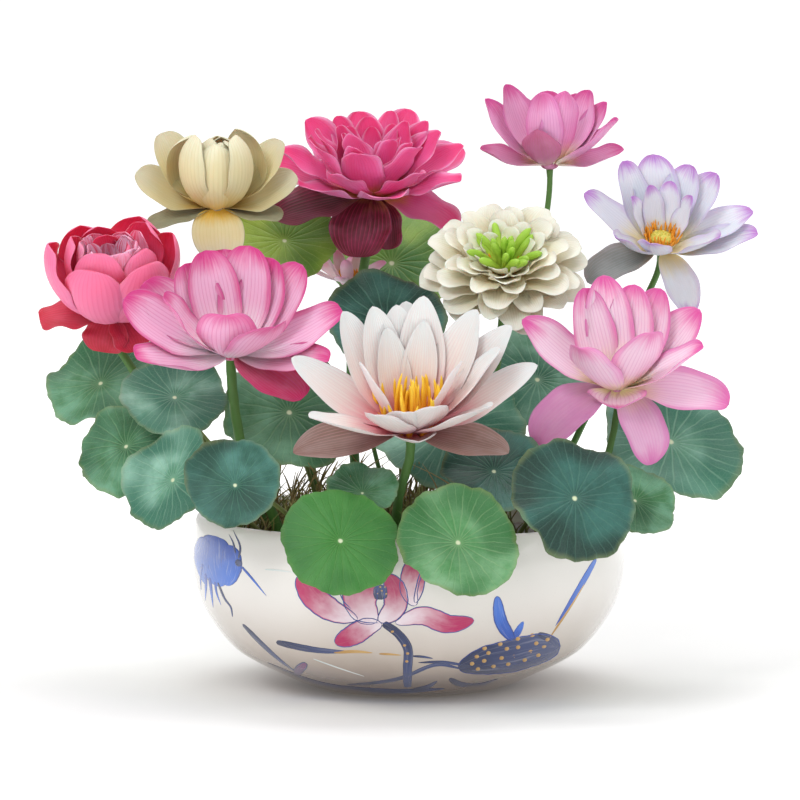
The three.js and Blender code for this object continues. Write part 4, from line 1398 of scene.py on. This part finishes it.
# ----------------------------------------------------------- bowl's painting
def on_bowl(x: np.ndarray, z: np.ndarray, out: np.ndarray) -> np.ndarray:
    """Points on the bowl's front, moved out along its surface's normal.

    The front is y = -sqrt(r(z)^2 - x^2), with r the outer section's radius;
    the normal is (x, y, -r dr/dz) made a unit vector.
    """
    radius, level = BOWL_FACE[:, 0], BOWL_FACE[:, 1]
    r = np.interp(z, level, radius)
    slope = np.interp(z + 0.6, level, radius) - np.interp(z - 0.6, level, radius)
    y = -np.sqrt(np.maximum(r * r - x * x, 1.0))
    normal = unit(np.stack([x, y, -r * slope / 1.2], -1))
    return np.stack([x, y, z], -1) + normal * out[..., None]


@dataclass(frozen=True)
class Stroke:
    """One brush stroke on the bowl: [x, height] along its middle, and its width.

    The half width is s^swell (1 - s)^taper, scaled to the width. With
    line set, a fine stroke of that ink follows both of its sides.
    """

    path: list
    width: float
    ink: str
    swell: float = 0.35
    taper: float = 0.5
    line: str = ""
    wobble: float = 0.015

    def spine(self, rows: int) -> tuple:
        """Middle line, sideways direction and half width at each row."""
        flat = np.array([(x, 0.0, z) for x, z in self.path], float)
        middle = curve_through(flat, rows)[:, [0, 2]]
        along = unit(np.gradient(middle, axis=0))
        side = np.stack([-along[:, 1], along[:, 0]], -1)
        s = np.linspace(0, 1, rows)
        total = self.swell + self.taper
        peak = (self.swell / total) ** self.swell * (self.taper / total) ** self.taper
        half = self.width / 2 * s**self.swell * (1 - s) ** self.taper / peak
        rough = 1 + self.wobble * np.sin(23 * s + self.width) + self.wobble * np.sin(51 * s)
        return middle, side, half * rough

    def lay(self, shell: Shell, inks: list[str], level: float, seed: float) -> None:
        """Adds the stroke as a thin closed film, level millimetres proud."""
        reach = sum(math.dist(a, b) for a, b in zip(self.path, self.path[1:]))
        rows = int(np.clip(reach * 1.6, 14, 90))
        middle, side, half = self.spine(rows)
        turn = np.linspace(0, 2 * np.pi, 20, endpoint=False)
        t, face = np.cos(turn), np.sin(turn)
        flat = middle[:, None] + side[:, None] * (half[:, None] * t)[..., None]
        proud = level * np.sign(face) * np.abs(face) ** 0.3
        points = on_bowl(flat[..., 0], flat[..., 1], np.broadcast_to(proud, flat.shape[:2]))
        s = np.linspace(0, 1, rows)[:, None]
        uv = np.stack(np.broadcast_arrays((t + 1) / 2, s), -1)
        shell.add(points, uv, (0, 0, seed), slot=inks.index(self.ink))
        if self.line:
            for way in (-1, 1):
                edge = (middle + way * side * half[:, None])[1:-1:2]
                ends = [tuple(middle[0]), *map(tuple, edge), tuple(middle[-1])]
                width = 0.6 + 0.25 * seed
                line = Stroke(ends, width, self.line, 0.2, 0.2, wobble=0.0)
                line.lay(shell, inks, level + 0.06, seed)


def dots(places: list, size: float, ink: str) -> list[Stroke]:
    """Round dabs of the brush."""
    half = size / 2
    return [Stroke([(x - half, z), (x + half, z + 0.1)], size, ink, 0.5, 0.5) for x, z in places]


def pod_dots() -> list[tuple[float, float]]:
    """Places of the dabs on the painted seed pod, in four sloping rows."""
    rows = []
    for row, (count, start, step) in enumerate(((5, 46, 10.4), (6, 41, 10), (6, 44, 10), (4, 50, 11))):
        for i in range(count):
            x = start + i * step + 1.2 * math.sin(3 * i + row)
            rows.append((x, 24.5 + row * 5.6 + (x - 40) * 0.17 + 0.8 * math.cos(5 * i + row)))
    return rows


PAINTING = {
    "bird": [
        Stroke([(-138, 108), (-141, 92), (-139, 76)], 13, "cobalt", 0.4, 0.7),
        Stroke([(-130, 111), (-131, 95), (-128, 77)], 25, "cobalt", 0.35, 0.5),
        Stroke([(-121, 107), (-119, 96), (-123, 79)], 15, "cobalt", 0.4, 0.5),
        Stroke([(-138, 84), (-138, 74), (-139, 63)], 2.2, "cobalt", 0.2, 0.9),
        Stroke([(-135, 82), (-134, 72), (-133, 60)], 2.4, "cobalt", 0.2, 0.9),
        Stroke([(-131, 80), (-130, 72), (-127, 64)], 1.8, "cobalt", 0.2, 0.9),
        Stroke([(-140, 90), (-142, 80), (-142, 70)], 1.6, "cobalt", 0.2, 0.9),
        Stroke([(-129, 80), (-124, 69), (-120, 64), (-119, 57)], 1.7, "slate", 0.2, 0.4),
        Stroke([(-114, 99), (-113, 107), (-118, 117)], 1.5, "slate", 0.3, 0.8),
        Stroke([(-116, 102), (-118, 109), (-121, 114)], 1.3, "slate", 0.3, 0.8),
        Stroke([(-112, 94), (-104, 86), (-95, 76)], 1.7, "cobalt", 0.25, 0.8),
        *dots([(-114, 96)], 5.0, "slate"), *dots([(-114, 96)], 3.6, "white"),
        *dots([(-113.8, 96)], 1.5, "slate"),
    ],
    "lotus": [
        Stroke([(-96, 94), (-86, 94.2), (-76, 93.6)], 1.2, "pale"),
        Stroke([(4, 74), (0, 84), (2, 97), (7, 110)], 13, "rose", 0.5, 0.4, "line"),
        Stroke([(4, 76), (7, 86), (9, 98)], 5, "rose", 0.5, 0.5, "line"),
        Stroke([(-22, 62), (-31, 73), (-32, 86), (-25, 99)], 23, "rose", 0.55, 0.42, "line"),
        Stroke([(-18, 78), (-18.5, 82), (-18, 88)], 12, "slate", 0.3, 0.3),
        *dots([(-21, 82), (-18, 84), (-15, 82), (-19, 86.5), (-16, 86.5)], 1.3, "ochre"),
        *dots([(-20, 91), (-16.5, 92), (-13.5, 90.5)], 2.4, "ochre"),
        Stroke([(-34, 64), (-50, 69), (-63, 78), (-73, 92)], 17, "rose", 0.6, 0.45, "line"),
        Stroke([(-9, 62), (9, 67), (26, 61), (43, 63)], 13.5, "rose", 0.6, 0.55, "line"),
        Stroke([(-18, 61), (-27, 59), (-38, 52), (-49, 46)], 14.5, "rose", 0.55, 0.5, "line"),
        Stroke([(-20, 63), (-10, 72), (-9, 83), (-14, 95)], 15.5, "rose", 0.55, 0.5, "line"),
        Stroke([(-37, 64), (-28, 62), (-20, 62)], 0.8, "line", 0.3, 0.3),
        Stroke([(-46, 82), (-43, 76), (-38, 71)], 0.8, "line", 0.4, 0.6),
        Stroke([(-17, 62), (-7, 54), (-1, 44), (-1, 28), (-1, 11)], 6.4, "slate", 0.12, 0.12),
        *dots([(-11, 56), (-3, 46), (-1, 40), (-1.5, 34), (-1, 22)], 2.2, "ochre"),
    ],
    "seed_pod": [
        Stroke([(-42, 11), (-8, 19), (18, 31), (36, 27)], 3.2, "slate", 0.4, 0.4),
        Stroke([(6, 33), (22, 33), (37, 30)], 2.4, "slate", 0.6, 0.4),
        Stroke([(33, 28), (50, 32), (68, 34), (86, 37), (102, 37)], 27, "slate", 0.5, 0.36, "line"),
        Stroke([(86, 50), (95, 44), (102, 36)], 6, "slate", 0.4, 0.4),
        *dots(pod_dots(), 3.1, "ochre"),
        Stroke([(69, 47), (61, 61), (58, 79)], 8, "cobalt", 0.35, 0.45, "line"),
        Stroke([(70, 48), (73, 54), (76, 60)], 5, "cobalt", 0.35, 0.6),
        Stroke([(94, 45), (110, 70), (125, 94)], 2.2, "ochre", 0.6, 0.5),
        Stroke([(98, 54), (111, 74), (126, 97)], 4.4, "cobalt", 0.8, 0.35),
    ],
    "reeds": [
        Stroke([(-89, 43), (-62, 40), (-36, 40)], 5.2, "slate", 0.25, 0.7),
        Stroke([(-50, 39), (-36, 40.5), (-24, 40)], 2.4, "ochre", 0.4, 0.6),
        Stroke([(-20, 39.4), (-12, 39.2), (-5, 38.6)], 1.6, "ochre", 0.4, 0.6),
        Stroke([(2, 38), (9, 37.4), (16, 36)], 1.8, "slate", 0.4, 0.6),
        Stroke([(-112, 53), (-95, 36), (-76, 19)], 3.8, "slate", 0.35, 0.7),
        Stroke([(-76, 16), (-74, 22), (-69, 29)], 6.0, "plum", 0.45, 0.45, "slate"),
        Stroke([(-96, 24), (-64, 11), (-26, 7)], 3.6, "slate", 0.5, 0.6),
        Stroke([(-50, 9), (-10, 7), (24, 9)], 4.6, "slate", 0.5, 0.6),
        Stroke([(2, 8), (12, 11), (19, 17)], 4.2, "slate", 0.4, 0.7),
        Stroke([(27, 19), (34, 13), (44, 11)], 5.0, "slate", 0.4, 0.6),
        Stroke([(40, 11), (50, 11), (60, 15)], 3.4, "slate", 0.4, 0.7),
        Stroke([(-64, 33), (-44, 26), (-30, 21)], 0.9, "pale", 0.4, 0.6),
    ],
}  # fmt: skip


def build_painting(kit: "Materials") -> None:
    """The brushwork, one piece for each motif."""
    inks = list(kit.ink)
    for name, strokes in PAINTING.items():
        shell = Shell()
        for i, stroke in enumerate(strokes):
            stroke.lay(shell, inks, 0.12 + 0.012 * (i % 12), (i * 0.37) % 1)
        shell.make(f"painting_{name}", list(kit.ink.values()), "glaze")


# ------------------------------------------------------------ all materials
def rod_group() -> bpy.types.NodeTree:
    """Foot colour below Switch along v and Head colour above it, a little blotched."""
    g, source, out = new_group(
        "RodTint",
        [("Foot", COLOR, GREY), ("Head", COLOR, GREY), ("Switch", FLOAT, 0.5), ("Soft", FLOAT, 0.1)],
        [("Color", COLOR), ("Height", FLOAT)],
    )
    u, v, _ = g.uv()
    seed = g.tint()[2]
    shift = g.math("MULTIPLY", seed, 31.0)
    grain = g.noise(g.join(g.math("MULTIPLY", u, 6.0), g.math("MULTIPLY", v, 9.0), shift), 1.0)
    ahead = g.math("SUBTRACT", g.math("MULTIPLY_ADD", grain, 0.12, v), source["Switch"])
    share = g.math("MULTIPLY_ADD", g.math("DIVIDE", ahead, source["Soft"]), 0.5, 0.5, clamp=True)
    body = g.blend(share, source["Foot"], source["Head"])
    value = g.math("MULTIPLY_ADD", g.math("ADD", grain, seed), 0.18, 0.82)
    shade = g.add("ShaderNodeHueSaturation", {"Value": value, "Color": body})
    g.feed(out.inputs["Color"], shade.outputs[0])
    g.feed(out.inputs["Height"], grain)
    return g.tree


@dataclass(frozen=True)
class Rod:
    """A thin part that changes colour once along its length."""

    foot: str
    head: str
    switch: float = 0.5
    soft: float = 0.2
    roughness: float = 0.5

    def make(self, name: str, tree: bpy.types.NodeTree) -> bpy.types.Material:
        """Builds the material with the shared rod group."""
        made, g, shader = material(
            name, Roughness=self.roughness, Subsurface_Weight=0.1,
            Subsurface_Radius=(0.6, 0.6, 0.3), Subsurface_Scale=1.5 * MM,
        )  # fmt: skip
        tint = g.add("ShaderNodeGroup", node_tree=tree)
        tint.inputs["Foot"].default_value = linear(self.foot)
        tint.inputs["Head"].default_value = linear(self.head)
        tint.inputs["Switch"].default_value = self.switch
        tint.inputs["Soft"].default_value = self.soft
        g.feed(shader.inputs["Base Color"], tint.outputs["Color"])
        bumped(g, shader, tint.outputs["Height"], 0.4, 0.2)
        return made


# Leaf colours: green, painted shade for the darker side, bluish wax cast with painted rim highlight,
# vein, under.
LEAF_FINISHES = {
    "leaf_green": LeafFinish("3b7545", "28603c", "7db397", "86b184", "7c9c6c", bloom_and_highlight_share=0.6),
    "leaf_blue": LeafFinish("245748", "184236", "589086", "61957f", "6f9078", bloom_and_highlight_share=0.6),
    "leaf_light": LeafFinish("4d8a6c", "36705a", "9ecbb8", "9cc6aa", "8bab86", bloom_and_highlight_share=0.75),
    "front_left": LeafFinish(
        "347a2e", "2a6a2a", "5c9450", "68994f", "7c9c6c",
        bloom_and_highlight_share=0.3, dry_share=0.1, vein_share=0.22,
    ),
    "front_middle": LeafFinish("4b8c50", "38733f", "8fbb92", "93b884", "7c9c6c", bloom_and_highlight_share=0.7),
    "front_right": LeafFinish("1f4c43", "15382f", "3f7a70", "558575", "6f9078", dry="9aa86a"),
    "back_yellow": LeafFinish("86ad33", "5f8a2c", "b5cf55", "b3cb6c", "94ab54"),
    "back_tall": LeafFinish("6fa03a", "447f38", "a0c458", "a3c06c", "8aa257"),
}  # fmt: skip
ROD_FINISHES = {
    "stamen": Rod("f7f0dc", "f0a42c", 0.55, 0.06),
    "finger": Rod("f79a1c", "fbd53c", 0.45, 0.7, 0.4),
    "carpel": Rod("c7d65a", "9ac43c", 0.35, 0.5),
    "stem": Rod("3f6a2c", "5a8a3a", 0.6, 0.9),
    "stalk": Rod("6c6a3c", "7f9450", 0.5, 0.8),
    "grass": Rod("3c3d1c", "8b8c4e", 0.4, 0.6, 0.7),
    "straw": Rod("3a2a18", "a08a5a", 0.4, 0.7, 0.8),
}
SPECKLE_FINISHES = {
    "pod": Speckle("b9b93c", "dfd76a", 500, 1.0, 0.55, 0.3),
    "bead": Speckle("d9c23e", "f0e07a", 500, 1.0, 0.4, 0.2),
    "mud": Speckle("1a130d", "4e4032", 120, 1.0, 0.55, 2.5),
    "litter": Speckle("2c1f14", "6e5638", 240, 1.0, 0.8, 1.2),
}
INKS = {
    "cobalt": Ink("164bb0", "3a73d6", "163f98", 0.12, 0.2),
    "line": Ink("21347e", "2f4c9c", "21347e", 0.0, 0.05),
    "slate": Ink("1f2b54", "3b4a7c", "1d284e", 0.1, 0.2),
    "rose": Ink("f4e6ee", "b8125c", "c42a72", 0.12, 0.08),
    "ochre": Ink("b88a45", "cfa765", "ad7f3c", 0.0, 0.1),
    "plum": Ink("5d4c7c", "7c4674", "3c3566", 0.2, 0.2),
    "pale": Ink("d5dfdd", "e2e6e4", "d5dfdd", 0.0, 0.5),
    "white": Ink("f2f3f4", "f2f3f4", "f2f3f4", 0.0, 0.0),
}


class Materials:
    """Every material of the object, each made once, on five shared node groups."""

    def __init__(self) -> None:
        petal, leaf, speckle, brush, rod = (
            petal_group(), leaf_group(), speckle_group(), brush_group(), rod_group(),
        )  # fmt: skip
        self.glaze = glaze_material()
        self.petal = {f.name: f.finish.make(f.name, petal) for f in FLOWERS}
        self.collar = {
            f.name: Speckle(f.finish.guard, f.finish.back, 200).make(f"collar_{f.name}", speckle)
            for f in FLOWERS
        }
        self.leaf = {n: finish.make(n, leaf) for n, finish in LEAF_FINISHES.items()}
        self.ink = {n: finish.make(f"ink_{n}", brush) for n, finish in INKS.items()}
        for name, finish in ROD_FINISHES.items():
            setattr(self, name, finish.make(name, rod))
        for name, finish in SPECKLE_FINISHES.items():
            setattr(self, name, finish.make(name, speckle))


# ------------------------------------------------------------ stage and view
ROOM_LIGHT = 0.7
FLOOR_CORNERS = [(-14, -14), (14, -14), (14, 14), (-14, 14)]
LAMPS = [
    ("key", (-1.3, -2.2, 2.3), 1.3, 36),
    ("fill", (2.2, -1.8, 1.2), 1.8, 9),
    ("top", (0.1, 0.5, 2.6), 1.6, 24),
]
SENSOR, CAMERA_REACH, CAMERA_FIELD = 36.0, 3.0, 0.552


def floor_material() -> bpy.types.Material:
    """Matt white that glows a little more away from the bowl, so it has no horizon."""
    made, g, shader = material("studio_white", Base_Color=(0.93, 0.93, 0.93, 1), Roughness=0.9)
    away = g.add("ShaderNodeVectorMath", {0: g.place()}, operation="LENGTH").outputs["Value"]
    g.feed(shader.inputs["Emission Color"], (1, 1, 1, 1))
    glow = g.math("MULTIPLY_ADD", g.step(away, 0.4, 1.6), 0.42, 0.05)
    g.feed(shader.inputs["Emission Strength"], glow)
    return made


def build_world() -> None:
    """A white room: soft light on the object, and pure white where it is seen itself."""
    world = bpy.data.worlds.new("studio_world")
    world.use_nodes = True
    graph = Graph(world.node_tree)
    back = world.node_tree.nodes["Background"]
    graph.feed(back.inputs["Color"], (1, 1, 1, 1))
    seen = graph.add("ShaderNodeLightPath").outputs["Is Camera Ray"]
    graph.feed(back.inputs["Strength"], graph.math("MULTIPLY_ADD", seen, 0.4, ROOM_LIGHT))
    bpy.context.scene.world = world


def build_stage() -> None:
    """A wide pale floor, soft lamps and the camera."""
    mesh = bpy.data.meshes.new("studio_floor")
    mesh.from_pydata([(x, y, -0.0002) for x, y in FLOOR_CORNERS], [], [(0, 1, 2, 3)])
    mesh.materials.append(floor_material())
    floor = bpy.data.objects.new("studio_floor", mesh)
    bpy.context.scene.collection.objects.link(floor)
    build_world()
    for name, spot, size, power in LAMPS:
        lamp = bpy.data.lights.new(name, "AREA")
        lamp.size, lamp.energy = size, power
        light = bpy.data.objects.new(name, lamp)
        light.location = spot
        aim = np.array([0, 0, 0.2]) - np.array(spot)
        yaw = math.atan2(aim[1], aim[0]) - math.pi / 2
        pitch = math.acos(-aim[2] / np.linalg.norm(aim))
        light.rotation_euler = (pitch, 0, yaw)
        bpy.context.scene.collection.objects.link(light)
    lens = bpy.data.cameras.new("camera")
    lens.lens, lens.sensor_width = SENSOR * CAMERA_REACH / CAMERA_FIELD, SENSOR
    camera = bpy.data.objects.new("camera", lens)
    camera.location = (-0.006, -2.9886, 0.4585)
    camera.rotation_euler = (math.radians(85), 0, 0)
    bpy.context.scene.collection.objects.link(camera)
    bpy.context.scene.camera = camera
    bpy.context.scene.view_settings.view_transform = "Standard"


def main() -> None:
    """Builds the whole object, then the stage."""
    logging.basicConfig(level=logging.INFO, format="%(name)s: %(message)s")
    kit = Materials()
    build_bowl(kit)
    build_painting(kit)
    build_mud(kit)
    build_grass(kit)
    build_litter(kit)
    for flower in FLOWERS:
        flower.dress(kit)
    for i, leaf in enumerate(LEAVES):
        leaf.dress(kit, (i * 0.618) % 1)
    build_stage()
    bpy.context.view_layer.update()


if __name__ == "__main__":
    main()
